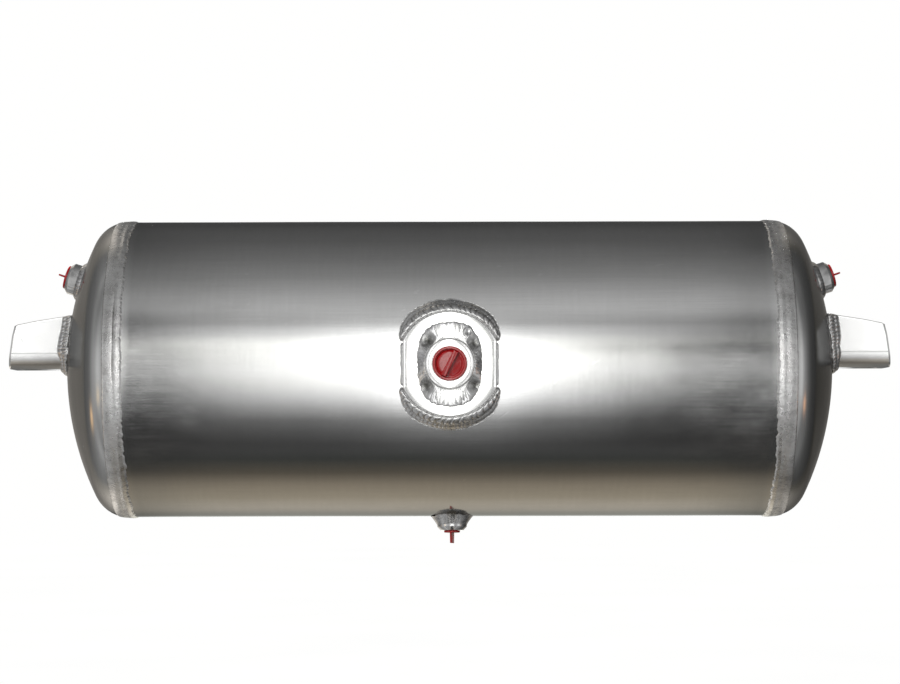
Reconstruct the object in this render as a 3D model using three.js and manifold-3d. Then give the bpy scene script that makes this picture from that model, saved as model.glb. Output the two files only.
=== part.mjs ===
// Compressed-air receiver: a welded aluminium pressure vessel lying on its side.
// +X runs along the vessel's axis, the front port faces -Y, +Z is up, and lengths are in millimetres.
// The origin is on the axis, midway between the heads, level with the undersides of both brackets.

import * as THREE from 'three';
import { mergeVertices } from 'three/addons/utils/BufferGeometryUtils.js';
import Module from 'manifold-3d';

const wasm = await Module();
wasm.setup();

// ---- Driving dimensions -------------------------------------------------------------------------

const gap = 0.3; // clearance between neighbouring solids

// Vessel: a rolled shell between two torispherical heads
const vesselRadius = 123;
const plate = 4;
const halfLength = 317;
const crownRadius = 242;
const knuckleRadius = 27;
const rootOpening = 2.4; // slit between two plates, filled by the root of the weld
const vesselSegments = 64;

// Weld caps on the vessel
const seamCapWidth = 16;
const seamCapHeight = 0.7;
const longSeamWidth = 9;
const longSeamFacets = 6; // facets of the shell between the rear centre line and the long seam

// Backing rings behind the circumferential seams
const ringThickness = 3;
const ringStart = 252;

// Front pad: a disc with two upright flats, saddled onto the shell
const padFace = 126; // from the vessel's axis
const padRadius = 41.5;
const padHalfWidth = 37;
const padWeldToe = 51;

// Ports, all sizes in the port's own frame; reach is from the surface the boss stands on
const frontPort = { radius: 19.7, bore: 9.3, reach: 10, tail: 11, chamfer: 0.5 };
const endPort = { radius: 13, bore: 7.5, reach: 13.5, tail: 7, chamfer: 2.6 };
const drainPort = { radius: 12.3, bore: 5.8, reach: 11.6, tail: 7, chamfer: 2.8 };
const endPortHeight = 73; // above the axis, where its own axis leaves the crown
const drainTurn = THREE.MathUtils.degToRad(4); // towards the front from straight down
const drainShift = 1.6; // to the right of the vessel's middle

// Plugs: a tapered shank, a flange and a grip
const frontPlug = { flange: 13.6, rim: 2.65, base: 2.2, shank: 13 };
const frontGrip = { width: 24, height: 5.4, thick: 5, turn: THREE.MathUtils.degToRad(62) };
const endPlug = { flange: 9.75, rim: 0, base: 1.8, shank: 11 };
const endGrip = { width: 15, height: 6.6, thick: 1.4, turn: 0 };
const drainPlug = { flange: 6.6, rim: 0, base: 1.8, shank: 10 };
const drainGrip = { width: 13, height: 9.6, thick: 1.5, turn: THREE.MathUtils.degToRad(101) };

// End brackets: a folded channel, open at the top
const bracketEnd = 364.5;
const bracketWidth = 60;
const bracketPlate = 6;
const bendRadius = 13;
const flangeEndHeight = 36.7;
const flangeRootHeight = 44.5;
const endSlant = THREE.MathUtils.degToRad(7.8);
const cornerRadius = 4;
const slotCentre = 346;
const slotLength = 22;
const slotWidth = 13;
const bracketWeldLeg = 8;

// ---- Finishes -----------------------------------------------------------------------------------

const rolledAluminium = { color: 0x8f9290, roughness: 0.34, metalness: 1 };
const spunAluminium = { color: 0x8a8c8a, roughness: 0.32, metalness: 1 };
const weldMetal = { color: 0xa3a39f, roughness: 0.5, metalness: 1 };
const machinedAluminium = { color: 0xd9dad6, roughness: 0.28, metalness: 1 };
const foldedPlate = { color: 0xcfd0cc, roughness: 0.3, metalness: 1 };
const redPlastic = { color: 0xb01218, roughness: 0.22, metalness: 0 };

// ---- Solids -------------------------------------------------------------------------------------

// A closed geometry as a solid that can be cut and joined.
function solidOf(geometry) {
  const bare = geometry.clone();
  bare.deleteAttribute('normal');
  bare.deleteAttribute('uv');
  const merged = mergeVertices(bare, 1e-4);
  const corners = merged.index.array;
  const triangles = [];
  for (let i = 0; i < corners.length; i += 3) {
    const [a, b, c] = [corners[i], corners[i + 1], corners[i + 2]];
    if (a !== b && b !== c && c !== a) {
      triangles.push(a, b, c);
    }
  }
  const vertProperties = new Float32Array(merged.attributes.position.array);
  const triVerts = new Uint32Array(triangles);
  return new wasm.Manifold(new wasm.Mesh({ numProp: 3, vertProperties, triVerts }));
}

function geometryOf(solid) {
  const mesh = solid.getMesh();
  const geometry = new THREE.BufferGeometry();
  geometry.setAttribute('position', new THREE.BufferAttribute(new Float32Array(mesh.vertProperties), 3));
  geometry.setIndex(new THREE.BufferAttribute(new Uint32Array(mesh.triVerts), 1));
  geometry.computeVertexNormals();
  return geometry;
}

function part(name, solid, finish) {
  const mesh = new THREE.Mesh(geometryOf(solid), new THREE.MeshStandardMaterial(finish));
  mesh.name = name;
  return mesh;
}

// A profile of [radius, height] points turned about +Y.
function turned(profile, segments) {
  const points = profile.map(([radius, height]) => new THREE.Vector2(radius, height));
  return new THREE.LatheGeometry(points, segments);
}

// A profile of [x, radius] points turned about the vessel's axis.
function turnedOnVessel(profile) {
  const geometry = turned(profile.map(([x, radius]) => [radius, x]), vesselSegments);
  return geometry.rotateZ(-Math.PI / 2);
}

function rod(radius, low, high, segments) {
  return turned([[0, low], [radius, low], [radius, high], [0, high]], segments);
}

function box(sizeX, sizeY, sizeZ, x, y, z) {
  return new THREE.BoxGeometry(sizeX, sizeY, sizeZ).translate(x, y, z);
}

// Where the crown's and the knuckle's arcs are centred on the head's section.
const crownCentre = halfLength - crownRadius;
const knuckleCentreRadius = vesselRadius - knuckleRadius;
const knuckleCentre = crownCentre
  + Math.sqrt((crownRadius - knuckleRadius) ** 2 - knuckleCentreRadius ** 2);

// Points [x, radius] of the head's section, from the tangent line to the apex, inset from the outside.
function headArc(inset, knuckleSteps, crownSteps) {
  const join = Math.asin(knuckleCentreRadius / (crownRadius - knuckleRadius));
  const points = [];
  for (let i = 0; i < knuckleSteps; i += 1) {
    const angle = Math.PI / 2 + (join - Math.PI / 2) * (i / knuckleSteps);
    const reach = knuckleRadius - inset;
    points.push([knuckleCentre + reach * Math.cos(angle), knuckleCentreRadius + reach * Math.sin(angle)]);
  }
  for (let i = 0; i < crownSteps; i += 1) {
    const angle = join * (1 - i / crownSteps);
    const reach = crownRadius - inset;
    points.push([crownCentre + reach * Math.cos(angle), reach * Math.sin(angle)]);
  }
  points.push([halfLength - inset, 0]);
  return points;
}

const jointRight = knuckleCentre - 0.1; // where the head's plate begins
const jointLeft = jointRight - rootOpening; // where the shell's plate ends
const seamCentre = (jointLeft + jointRight) / 2 + 1.3;
const seamStart = seamCentre - seamCapWidth / 2;
const seamEnd = seamCentre + seamCapWidth / 2;
const rootInside = vesselRadius - plate;
const rootClear = (rootOpening - 2 * gap) / 2; // half the width of a weld's root

// ---- Weld beads around a boss or pad ------------------------------------------------------------

// A closed bead in the port's frame: it climbs from toe(angle) on surface(x, z) to crest(x, z) at inner.
function weldRing({ inner, toe, surface, crest, segments }) {
  const section = [
    { across: 0, up: 0, rise: 0 },
    { across: 1, up: 0, rise: 0 },
    { across: 1, up: 0.3, rise: 0 },
    { across: 0.5, up: 0.3, rise: 0.62 },
    { across: 0, up: 0, rise: 1 },
    { across: 0, up: 0, rise: 0 },
  ];
  const ring = turned(section.map(({ across, up, rise }) => [1 + across, up + rise]), segments);
  const position = ring.attributes.position;
  for (let i = 0; i < position.count; i += 1) {
    const corner = section[i % section.length];
    const step = Math.floor(i / section.length) % segments;
    const angle = (2 * Math.PI * step) / segments;
    const radius = inner + corner.across * (toe(angle) - inner);
    const x = radius * Math.sin(angle);
    const z = radius * Math.cos(angle);
    const floor = surface(x, z) + gap;
    const climb = corner.rise * (crest(x, z) - floor);
    position.setXYZ(i, x, floor + corner.up + climb, z);
  }
  return ring;
}

const shellSurface = (x, z) => Math.sqrt(vesselRadius ** 2 - z ** 2);
const crownSurface = (x, z) => Math.sqrt(crownRadius ** 2 - x ** 2 - z ** 2);
const padSurface = () => padFace;

// ---- Ports --------------------------------------------------------------------------------------

const portSegments = 36;

// The boss about +Y, standing on a surface `seat` above the frame's origin.
function bossSolid({ radius, bore, reach, tail, chamfer }, seat, flange) {
  const inside = seat - tail;
  const face = seat + reach;
  return solidOf(turned([
    [bore, inside],
    [radius, inside],
    [radius, face - chamfer],
    [radius - chamfer, face],
    [flange + gap, face],
    [bore, face],
    [bore, inside],
  ], portSegments));
}

// The hole that a boss passes through.
function bossHole({ radius }, seat) {
  return rod(radius + gap, seat - 20, seat + 20, portSegments);
}

// A plug about +Y whose flange rests on the boss's face: shank, flange, rim and grip in one moulding.
function plugSolid({ bore, reach }, seat, { flange, rim, base, shank }, grip) {
  const under = seat + reach + gap;
  const floor = under + base;
  const shankRadius = bore - gap;
  const profile = [
    [0, under - shank],
    [shankRadius * 0.88, under - shank],
    [shankRadius, under - shank * 0.6],
    [shankRadius, under],
    [flange, under],
  ];
  if (rim > 0) {
    profile.push([flange, floor + 1.4], [flange - rim, floor + 1.4], [flange - rim, floor], [0, floor]);
  } else {
    profile.push([flange, floor], [0, floor]);
  }
  const fin = box(grip.width, grip.height, grip.thick, 0, under + 1 + grip.height / 2, 0);
  return solidOf(turned(profile, 28)).add(solidOf(fin.rotateY(grip.turn)));
}

// Turns a port's frame, +Y outward, into its place on the vessel.
function frontPlace(object) {
  return object.rotateX(Math.PI);
}

function drainPlace(object) {
  return object.rotateX(-Math.PI / 2 - drainTurn).translate(drainShift, 0, 0);
}

const endTilt = Math.asin(endPortHeight / crownRadius);

function endPlace(object) {
  return object.rotateZ(-Math.PI / 2).rotateY(-endTilt).translate(crownCentre, 0, 0);
}

// ---- Shell --------------------------------------------------------------------------------------

const longSeamAngle = (2 * Math.PI * longSeamFacets) / vesselSegments;

function makeShell() {
  const tube = solidOf(turnedOnVessel([
    [-jointLeft, vesselRadius],
    [jointLeft, vesselRadius],
    [jointLeft, rootInside],
    [-jointLeft, rootInside],
    [-jointLeft, vesselRadius],
  ]));
  const slit = box(2 * halfLength, 3 * plate, rootOpening, 0, vesselRadius, 0).rotateX(longSeamAngle);
  const solid = tube
    .subtract(solidOf(frontPlace(bossHole(frontPort, vesselRadius))))
    .subtract(solidOf(drainPlace(bossHole(drainPort, vesselRadius))))
    .subtract(solidOf(slit));
  return part('shell', solid, rolledAluminium);
}

// The straight bead that closes the rolled shell, with its root in the slit.
function makeLongSeam() {
  const section = new THREE.Shape();
  const low = vesselRadius + gap;
  const half = longSeamWidth / 2;
  section.moveTo(-rootClear, vesselRadius - plate);
  section.lineTo(rootClear, vesselRadius - plate);
  section.lineTo(rootClear, low);
  section.lineTo(half, low);
  section.quadraticCurveTo(0, low + 2 * seamCapHeight, -half, low);
  section.lineTo(-rootClear, low);
  section.closePath();
  const length = 2 * (seamStart - gap);
  const bead = new THREE.ExtrudeGeometry(section, { depth: length, bevelEnabled: false, curveSegments: 6 });
  bead.translate(0, 0, -length / 2).rotateY(Math.PI / 2).rotateX(longSeamAngle);
  return part('long_seam_weld', solidOf(bead), weldMetal);
}

// ---- Front pad and its port ---------------------------------------------------------------------

// A solid with its back trimmed to follow the shell.
function clearOfShell(solid) {
  const drum = solidOf(turnedOnVessel([
    [-halfLength, 0],
    [-halfLength, vesselRadius + gap],
    [halfLength, vesselRadius + gap],
    [halfLength, 0],
  ]));
  return solid.subtract(drum);
}

function makePad() {
  const flatAngle = Math.acos(padHalfWidth / padRadius);
  const outline = new THREE.Shape();
  outline.absarc(0, 0, padRadius, flatAngle, Math.PI - flatAngle, false);
  outline.absarc(0, 0, padRadius, Math.PI + flatAngle, 2 * Math.PI - flatAngle, false);
  outline.closePath();
  const back = 105;
  const block = new THREE.ExtrudeGeometry(outline, {
    depth: padFace - back,
    bevelEnabled: false,
    curveSegments: 20,
  });
  block.translate(0, 0, back).rotateX(Math.PI / 2);
  const solid = clearOfShell(solidOf(block))
    .subtract(solidOf(frontPlace(bossHole(frontPort, padFace))));
  return part('front_pad', solid, machinedAluminium);
}

// The heavy arcs above and below the pad, ending flush with its flats.
function makePadArcs() {
  const ring = solidOf(frontPlace(weldRing({
    inner: padRadius + gap,
    toe: () => padWeldToe,
    surface: shellSurface,
    crest: () => padFace - 1,
    segments: 60,
  })));
  const width = 2 * padHalfWidth;
  return [['upper', 1], ['lower', -1]].map(([side, sign]) => {
    const half = box(width, 60, 60, 0, -vesselRadius, sign * 31);
    return part(`pad_weld_${side}`, ring.intersect(solidOf(half)), weldMetal);
  });
}

// The thin beads that seal the pad's flats to the shell.
function makePadSideWelds() {
  const height = 2 * Math.sqrt(padRadius ** 2 - padHalfWidth ** 2) - 4;
  return [['left', -1], ['right', 1]].map(([side, sign]) => {
    const section = new THREE.Shape();
    section.moveTo(0, 0);
    section.lineTo(2.6, 0);
    section.lineTo(0, 5);
    section.closePath();
    const bead = new THREE.ExtrudeGeometry(section, { depth: height, bevelEnabled: false });
    bead.translate(0, 0, -height / 2);
    bead.rotateX(Math.PI);
    if (sign < 0) {
      bead.rotateY(Math.PI);
    }
    bead.translate(sign * (padHalfWidth + gap), -120.6, 0);
    return part(`pad_weld_${side}`, clearOfShell(solidOf(bead)), weldMetal);
  });
}

function makeFrontPort() {
  const oval = ([across, upright]) => (angle) => (across * upright)
    / Math.hypot(upright * Math.sin(angle), across * Math.cos(angle));
  const bead = weldRing({
    inner: frontPort.radius + gap,
    toe: oval([25.3, 33.1]),
    surface: padSurface,
    crest: () => padFace + 5.5,
    segments: portSegments,
  });
  const port = new THREE.Group();
  port.rotation.x = Math.PI;
  port.add(part('front_boss', bossSolid(frontPort, padFace, frontPlug.flange), machinedAluminium));
  port.add(part('front_boss_weld', solidOf(bead), weldMetal));
  port.add(part('front_plug', plugSolid(frontPort, padFace, frontPlug, frontGrip), redPlastic));
  return port;
}

// ---- Drain port ---------------------------------------------------------------------------------

function makeDrainPort() {
  const bead = weldRing({
    inner: drainPort.radius + gap,
    toe: () => 19.5,
    surface: shellSurface,
    crest: (x, z) => shellSurface(x, z) + 6.5,
    segments: portSegments,
  });
  const port = new THREE.Group();
  port.rotation.x = -Math.PI / 2 - drainTurn;
  port.position.x = drainShift;
  const boss = bossSolid(drainPort, vesselRadius, drainPlug.flange);
  const plug = plugSolid(drainPort, vesselRadius, drainPlug, drainGrip);
  port.add(part('drain_boss', boss, machinedAluminium));
  port.add(part('drain_boss_weld', solidOf(bead), weldMetal));
  port.add(part('drain_plug', plug, redPlastic));
  return port;
}

// ---- Ends: head, seam, port and bracket, drawn for the right end --------------------------------

function makeHead() {
  const outside = headArc(0, 4, 6);
  const inside = headArc(plate, 3, 3);
  const profile = [
    ...inside.reverse(),
    [jointRight, rootInside],
    [jointRight, vesselRadius],
    ...outside,
  ];
  return solidOf(turnedOnVessel(profile)).subtract(solidOf(endPlace(bossHole(endPort, crownRadius))));
}

function makeBackingRing() {
  const outer = rootInside - gap;
  const inner = outer - ringThickness;
  return solidOf(turnedOnVessel([
    [ringStart, outer],
    [knuckleCentre, outer],
    [knuckleCentre, inner],
    [ringStart, inner],
    [ringStart, outer],
  ]));
}

// The outside of the head past the tangent line, as a radius at x.
function knuckleAt(x) {
  return knuckleCentreRadius + Math.sqrt(knuckleRadius ** 2 - (x - knuckleCentre) ** 2);
}

function makeSeamWeld() {
  const rootCentre = (jointLeft + jointRight) / 2;
  const low = vesselRadius + gap;
  const toe = knuckleAt(seamEnd) + gap;
  const mid = (seamEnd + knuckleCentre) / 2;
  return solidOf(turnedOnVessel([
    [rootCentre + rootClear, rootInside],
    [rootCentre - rootClear, rootInside],
    [rootCentre - rootClear, low],
    [seamStart, low],
    [seamStart, low + 0.2],
    [seamStart + 4, low + seamCapHeight],
    [seamCentre + 2, low + seamCapHeight],
    [seamEnd, toe + 0.25],
    [seamEnd, toe],
    [mid, knuckleAt(mid) + gap],
    [rootCentre + rootClear, low],
    [rootCentre + rootClear, rootInside],
  ]));
}

function makeEndBossWeld() {
  return solidOf(weldRing({
    inner: endPort.radius + gap,
    toe: () => 18.6,
    surface: crownSurface,
    crest: (x, z) => crownSurface(x, z) + 6,
    segments: portSegments,
  }));
}

// The channel's section across the vessel: y across, z up from the underside of the web.
function channelOutline(inset) {
  const half = bracketWidth / 2 - inset;
  const bend = bendRadius - inset;
  const top = flangeRootHeight + 5;
  const outline = new THREE.Path();
  outline.moveTo(-half, top);
  outline.lineTo(-half, bendRadius);
  outline.absarc(-bracketWidth / 2 + bendRadius, bendRadius, bend, Math.PI, 1.5 * Math.PI, false);
  outline.absarc(bracketWidth / 2 - bendRadius, bendRadius, bend, 1.5 * Math.PI, 2 * Math.PI, false);
  outline.lineTo(half, top);
  return outline.getPoints(6);
}

// A section in y and z drawn out along +X.
function alongX(points, start, end) {
  const shape = new THREE.Shape(points);
  const bar = new THREE.ExtrudeGeometry(shape, { depth: end - start, bevelEnabled: false });
  return bar.rotateX(Math.PI / 2).rotateZ(Math.PI / 2).translate(start, 0, 0);
}

// The flanges' outline from the side: a top edge that falls outwards and a slanted end.
function flangeOutline() {
  const slope = Math.atan2(flangeRootHeight - flangeEndHeight, bracketEnd - halfLength);
  const top = bracketEnd - flangeEndHeight * Math.tan(endSlant);
  const outline = new THREE.Shape();
  outline.moveTo(crownCentre, -1);
  outline.lineTo(bracketEnd, -1);
  outline.lineTo(bracketEnd, 0);
  outline.lineTo(top + cornerRadius * Math.tan(endSlant), flangeEndHeight - cornerRadius);
  outline.quadraticCurveTo(
    top,
    flangeEndHeight,
    top - cornerRadius,
    flangeEndHeight + cornerRadius * Math.tan(slope),
  );
  outline.lineTo(crownCentre, flangeEndHeight + (top - crownCentre) * Math.tan(slope));
  outline.closePath();
  const depth = 2 * bracketWidth;
  const slab = new THREE.ExtrudeGeometry(outline, { depth, bevelEnabled: false, curveSegments: 5 });
  return slab.translate(0, 0, -depth / 2).rotateX(Math.PI / 2);
}

function slotCutter() {
  const straight = (slotLength - slotWidth) / 2;
  const outline = new THREE.Shape();
  outline.absarc(straight, 0, slotWidth / 2, -Math.PI / 2, Math.PI / 2, false);
  outline.absarc(-straight, 0, slotWidth / 2, Math.PI / 2, 1.5 * Math.PI, false);
  outline.closePath();
  const depth = 4 * bracketPlate;
  const cutter = new THREE.ExtrudeGeometry(outline, { depth, bevelEnabled: false, curveSegments: 10 });
  return cutter.translate(slotCentre, 0, -depth / 2);
}

// The crown as a full ball, a little larger, to trim what meets it.
function crownTrim() {
  const ball = new THREE.SphereGeometry(crownRadius + gap, 80, 56);
  return solidOf(ball.translate(crownCentre, 0, 0));
}

function makeBracket(trim) {
  const outer = channelOutline(0);
  const inner = channelOutline(bracketPlate).reverse();
  return solidOf(alongX([...outer, ...inner], halfLength - 30, bracketEnd))
    .intersect(solidOf(flangeOutline()))
    .subtract(trim)
    .subtract(solidOf(slotCutter()));
}

// One bead round the outside of the channel, up one flange, under the web and up the other.
function makeBracketWeld(trim) {
  const onCrown = (y, z) => crownCentre + Math.sqrt(crownRadius ** 2 - y ** 2 - z ** 2);
  const route = channelOutline(0)
    .map(({ x, y }) => [x, Math.min(y, flangeRootHeight + 1)])
    .map(([y, z]) => new THREE.Vector3(onCrown(y, z), y, z));
  const section = new THREE.Shape();
  section.absarc(0, 0, bracketWeldLeg, 0, 2 * Math.PI, false);
  const bead = new THREE.ExtrudeGeometry(section, {
    steps: 36,
    curveSegments: 4,
    bevelEnabled: false,
    extrudePath: new THREE.CatmullRomCurve3(route, false, 'centripetal'),
  });
  const channel = solidOf(alongX(channelOutline(-gap), halfLength - 40, bracketEnd));
  return solidOf(bead).subtract(trim).subtract(channel);
}

function makeEnd(side, turn) {
  const end = new THREE.Group();
  end.rotation.z = turn;
  const trim = crownTrim();
  const boss = bossSolid(endPort, crownRadius, endPlug.flange);
  const plug = plugSolid(endPort, crownRadius, endPlug, endGrip);
  const port = new THREE.Group();
  port.position.x = crownCentre;
  port.rotation.set(0, -endTilt, -Math.PI / 2, 'YZX');
  port.add(part(`${side}_boss`, boss, machinedAluminium));
  port.add(part(`${side}_boss_weld`, makeEndBossWeld(), weldMetal));
  port.add(part(`${side}_plug`, plug, redPlastic));
  end.add(port);
  end.add(part(`${side}_head`, makeHead(), spunAluminium));
  end.add(part(`${side}_backing_ring`, makeBackingRing(), rolledAluminium));
  end.add(part(`${side}_seam_weld`, makeSeamWeld(), weldMetal));
  end.add(part(`${side}_bracket`, makeBracket(trim), foldedPlate));
  end.add(part(`${side}_bracket_weld`, makeBracketWeld(trim), weldMetal));
  return end;
}

// ---- The receiver -------------------------------------------------------------------------------

const receiver = new THREE.Group();
receiver.add(makeShell(), makeLongSeam(), makePad());
receiver.add(...makePadArcs(), ...makePadSideWelds());
receiver.add(makeFrontPort(), makeDrainPort());
receiver.add(makeEnd('right', 0), makeEnd('left', Math.PI));

export default receiver;
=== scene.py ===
"""Looks of the air receiver: fine meshes, procedural finishes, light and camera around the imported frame.

Lengths are in millimetres until a mesh is made. A port's own frame has +Z out of the vessel, and its
origin is where the CAD puts it: on the vessel's axis, or at the centre of a head's crown.
"""

import math

import bmesh
import bpy
import numpy as np
from mathutils import Matrix, Vector


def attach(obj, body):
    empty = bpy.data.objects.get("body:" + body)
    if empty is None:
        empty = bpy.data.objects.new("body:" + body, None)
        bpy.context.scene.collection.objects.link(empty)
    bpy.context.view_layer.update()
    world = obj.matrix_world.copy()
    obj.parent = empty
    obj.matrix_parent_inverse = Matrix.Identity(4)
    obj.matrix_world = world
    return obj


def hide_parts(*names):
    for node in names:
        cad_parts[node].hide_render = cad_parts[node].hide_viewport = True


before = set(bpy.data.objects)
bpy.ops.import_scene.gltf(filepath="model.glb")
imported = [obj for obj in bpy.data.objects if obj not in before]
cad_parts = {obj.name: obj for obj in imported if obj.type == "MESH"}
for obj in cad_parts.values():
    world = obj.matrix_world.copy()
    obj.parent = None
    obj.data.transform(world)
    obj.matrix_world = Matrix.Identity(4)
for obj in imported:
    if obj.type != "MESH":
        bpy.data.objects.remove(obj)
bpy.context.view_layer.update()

MM = 0.001
TAU = 2 * math.pi

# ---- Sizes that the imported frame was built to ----

VESSEL_RADIUS = 123.0
PLATE = 4.0
HALF_LENGTH = 317.0
CROWN_RADIUS = 242.0
KNUCKLE_RADIUS = 27.0
CROWN_CENTRE = HALF_LENGTH - CROWN_RADIUS
KNUCKLE_RING = VESSEL_RADIUS - KNUCKLE_RADIUS
KNUCKLE_CENTRE = CROWN_CENTRE + math.sqrt((CROWN_RADIUS - KNUCKLE_RADIUS) ** 2 - KNUCKLE_RING**2)
KNUCKLE_JOIN = math.asin(KNUCKLE_RING / (CROWN_RADIUS - KNUCKLE_RADIUS))
HEAD_START = KNUCKLE_CENTRE - 0.1
SHELL_END = HEAD_START - 2.4
SEAM_START = 259.38
SEAM_END = 275.38
SEAM_CRACK = 266.4
# In degrees round the vessel.
SEAM_CRACK_AT = 170
PAD_FACE = 126.0
PAD_RADIUS = 41.5
PAD_HALF_WIDTH = 37.0
LONG_SEAM_ANGLE = math.radians(180 - 33.75)
BRACKET_END = 364.5
BRACKET_HALF = 30.0
BRACKET_PLATE = 6.0
BEND_RADIUS = 13.0
FLANGE_END_HEIGHT = 36.7
FLANGE_ROOT_HEIGHT = 44.5
END_SLANT = math.radians(7.8)
PORT_HEIGHT = 73.0
END_TILT = math.asin(PORT_HEIGHT / CROWN_RADIUS)
DRAIN_TURN = math.radians(4)
DRAIN_SHIFT = 1.6


def axes(origin, outward, across):
    """A port's frame as a matrix in metres: local z is outward and local x is across."""
    z = Vector(outward).normalized()
    x = Vector(across).normalized()
    y = z.cross(x)
    turn = Matrix((x, y, z)).transposed().to_4x4()
    return Matrix.Translation(Vector(origin) * MM) @ turn


FRONT = axes((0, 0, 0), (0, -1, 0), (1, 0, 0))
DRAIN = axes((DRAIN_SHIFT, 0, 0), (0, -math.sin(DRAIN_TURN), -math.cos(DRAIN_TURN)), (1, 0, 0))
RIGHT = axes((CROWN_CENTRE, 0, 0), (math.cos(END_TILT), 0, math.sin(END_TILT)), (0, 1, 0))
LEFT = axes((-CROWN_CENTRE, 0, 0), (-math.cos(END_TILT), 0, math.sin(END_TILT)), (0, -1, 0))
HALF_TURN = Matrix.Rotation(math.pi, 4, "Z")
HERE = Matrix.Identity(4)

# ---- Noise for shapes ----


def noise(position, seed, period=4096):
    """Smooth values from -1 to 1, a new one at each whole position, repeating after `period`."""
    knots = np.random.default_rng(seed).uniform(-1, 1, period)
    cell = np.floor(position).astype(int)
    t = position - cell
    t = t * t * (3 - 2 * t)
    return knots[cell % period] * (1 - t) + knots[(cell + 1) % period] * t


def noise_sheet(u, v, seed, period=512):
    """As noise, over two positions."""
    knots = np.random.default_rng(seed).uniform(-1, 1, (period, period))
    i, j = np.floor(u).astype(int), np.floor(v).astype(int)
    s, t = u - i, v - j
    s, t = s * s * (3 - 2 * s), t * t * (3 - 2 * t)
    i0, i1, j0, j1 = i % period, (i + 1) % period, j % period, (j + 1) % period
    low = knots[i0, j0] * (1 - s) + knots[i1, j0] * s
    high = knots[i0, j1] * (1 - s) + knots[i1, j1] * s
    return low * (1 - t) + high * t


def smoothstep(low, high, value):
    t = np.clip((value - low) / (high - low), 0, 1)
    return t * t * (3 - 2 * t)


# ---- Meshes ----


def quads(rows, columns, wrap_rows, wrap_columns):
    """The faces between the points of a grid, by point number."""
    i = np.arange(rows if wrap_rows else rows - 1)
    j = np.arange(columns if wrap_columns else columns - 1)
    i, j = np.meshgrid(i, j, indexing="ij")
    i2, j2 = (i + 1) % rows, (j + 1) % columns
    faces = np.stack([i * columns + j, i * columns + j2, i2 * columns + j2, i2 * columns + j], -1)
    return faces.reshape(-1, 4)


def grid_mesh(points, wrap_rows=True, wrap_columns=True, marks=None):
    """A mesh from points[row, column], in millimetres. marks are named values, one per point."""
    rows, columns = points.shape[:2]
    mesh = bpy.data.meshes.new("grid")
    faces = quads(rows, columns, wrap_rows, wrap_columns)
    mesh.from_pydata((points.reshape(-1, 3) * MM).tolist(), [], faces.tolist())
    for name, values in (marks or {}).items():
        attribute = mesh.attributes.new(name, "FLOAT", "POINT")
        attribute.data.foreach_set("value", values.astype(np.float32).ravel())
    return mesh


def cleaned(mesh, sharp_degrees):
    """Joins doubled points, faces everything outward, and shades it smooth up to an angle."""
    body = bmesh.new()
    body.from_mesh(mesh)
    bmesh.ops.remove_doubles(body, verts=body.verts, dist=2e-6)
    bmesh.ops.dissolve_degenerate(body, edges=body.edges, dist=1e-7)
    loose = [v for v in body.verts if not v.link_faces]
    bmesh.ops.delete(body, geom=loose, context="VERTS")
    bmesh.ops.recalc_face_normals(body, faces=body.faces)
    body.to_mesh(mesh)
    body.free()
    mesh.polygons.foreach_set("use_smooth", [True] * len(mesh.polygons))
    mesh.set_sharp_from_angle(angle=math.radians(sharp_degrees))
    return mesh


def loose_object(name, mesh, place=HERE):
    """An object in the scene that isn't yet a piece of the part."""
    thing = bpy.data.objects.new(name, mesh)
    bpy.context.scene.collection.objects.link(thing)
    thing.matrix_world = place
    return thing


def combine(thing, tools, operation):
    """Cuts or joins closed tools with an object and removes them."""
    for tool in tools:
        step = thing.modifiers.new("combine", "BOOLEAN")
        step.operation = operation
        step.solver = "EXACT"
        step.object = tool
    bake_modifiers(thing)
    for tool in tools:
        bpy.data.objects.remove(tool)


def bake_modifiers(thing):
    """Applies an object's modifiers to its mesh."""
    bpy.context.view_layer.update()
    depsgraph = bpy.context.evaluated_depsgraph_get()
    mesh = bpy.data.meshes.new_from_object(thing.evaluated_get(depsgraph))
    thing.modifiers.clear()
    thing.data = mesh


def piece(thing, finish, nodes, body="tank", sharp_degrees=38):
    """Gives an object its finish and its place in the frame."""
    cleaned(thing.data, sharp_degrees)
    thing.data.materials.clear()
    thing.data.materials.append(finish)
    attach(thing, body)
    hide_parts(*nodes)


def turned(profile, columns, twist=None):
    """Points[row, column] of a closed profile of (radius, height) about local z; twist alters its radii."""
    profile = np.array(profile, float)
    angle = np.arange(columns) * TAU / columns
    radius = profile[:, :1] + np.zeros((1, columns))
    height = profile[:, 1:] + np.zeros((1, columns))
    if twist is not None:
        radius = twist(radius, height, angle[None, :])
    return np.stack([radius * np.cos(angle), radius * np.sin(angle), height], -1)


def turned_on_vessel(profile, columns):
    """Points[row, column] of a closed profile of (x, radius); column 0 is at the front, then up."""
    profile = np.array(profile, float)
    angle = np.arange(columns) * TAU / columns
    x = profile[:, :1] + np.zeros((1, columns))
    return np.stack([x, -profile[:, 1:] * np.cos(angle), profile[:, 1:] * np.sin(angle)], -1)


def arc(centre, radius, start, end, steps=5):
    """Points of an arc, between two directions in radians."""
    angles = np.linspace(start, end, steps + 1)
    return [(centre[0] + radius * math.cos(a), centre[1] + radius * math.sin(a)) for a in angles]


def rod(radius, low, high, place):
    """A closed cylinder about local z, to cut a hole with."""
    points = turned([(0, low), (radius, low), (radius, high), (0, high)], 96)
    return loose_object("tool", cleaned(grid_mesh(points), 40), place)


# ---- Nodes ----


def rgb(colour):
    """A grey or a colour as three values."""
    return (colour,) * 3 if isinstance(colour, (int, float)) else tuple(colour)


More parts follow.
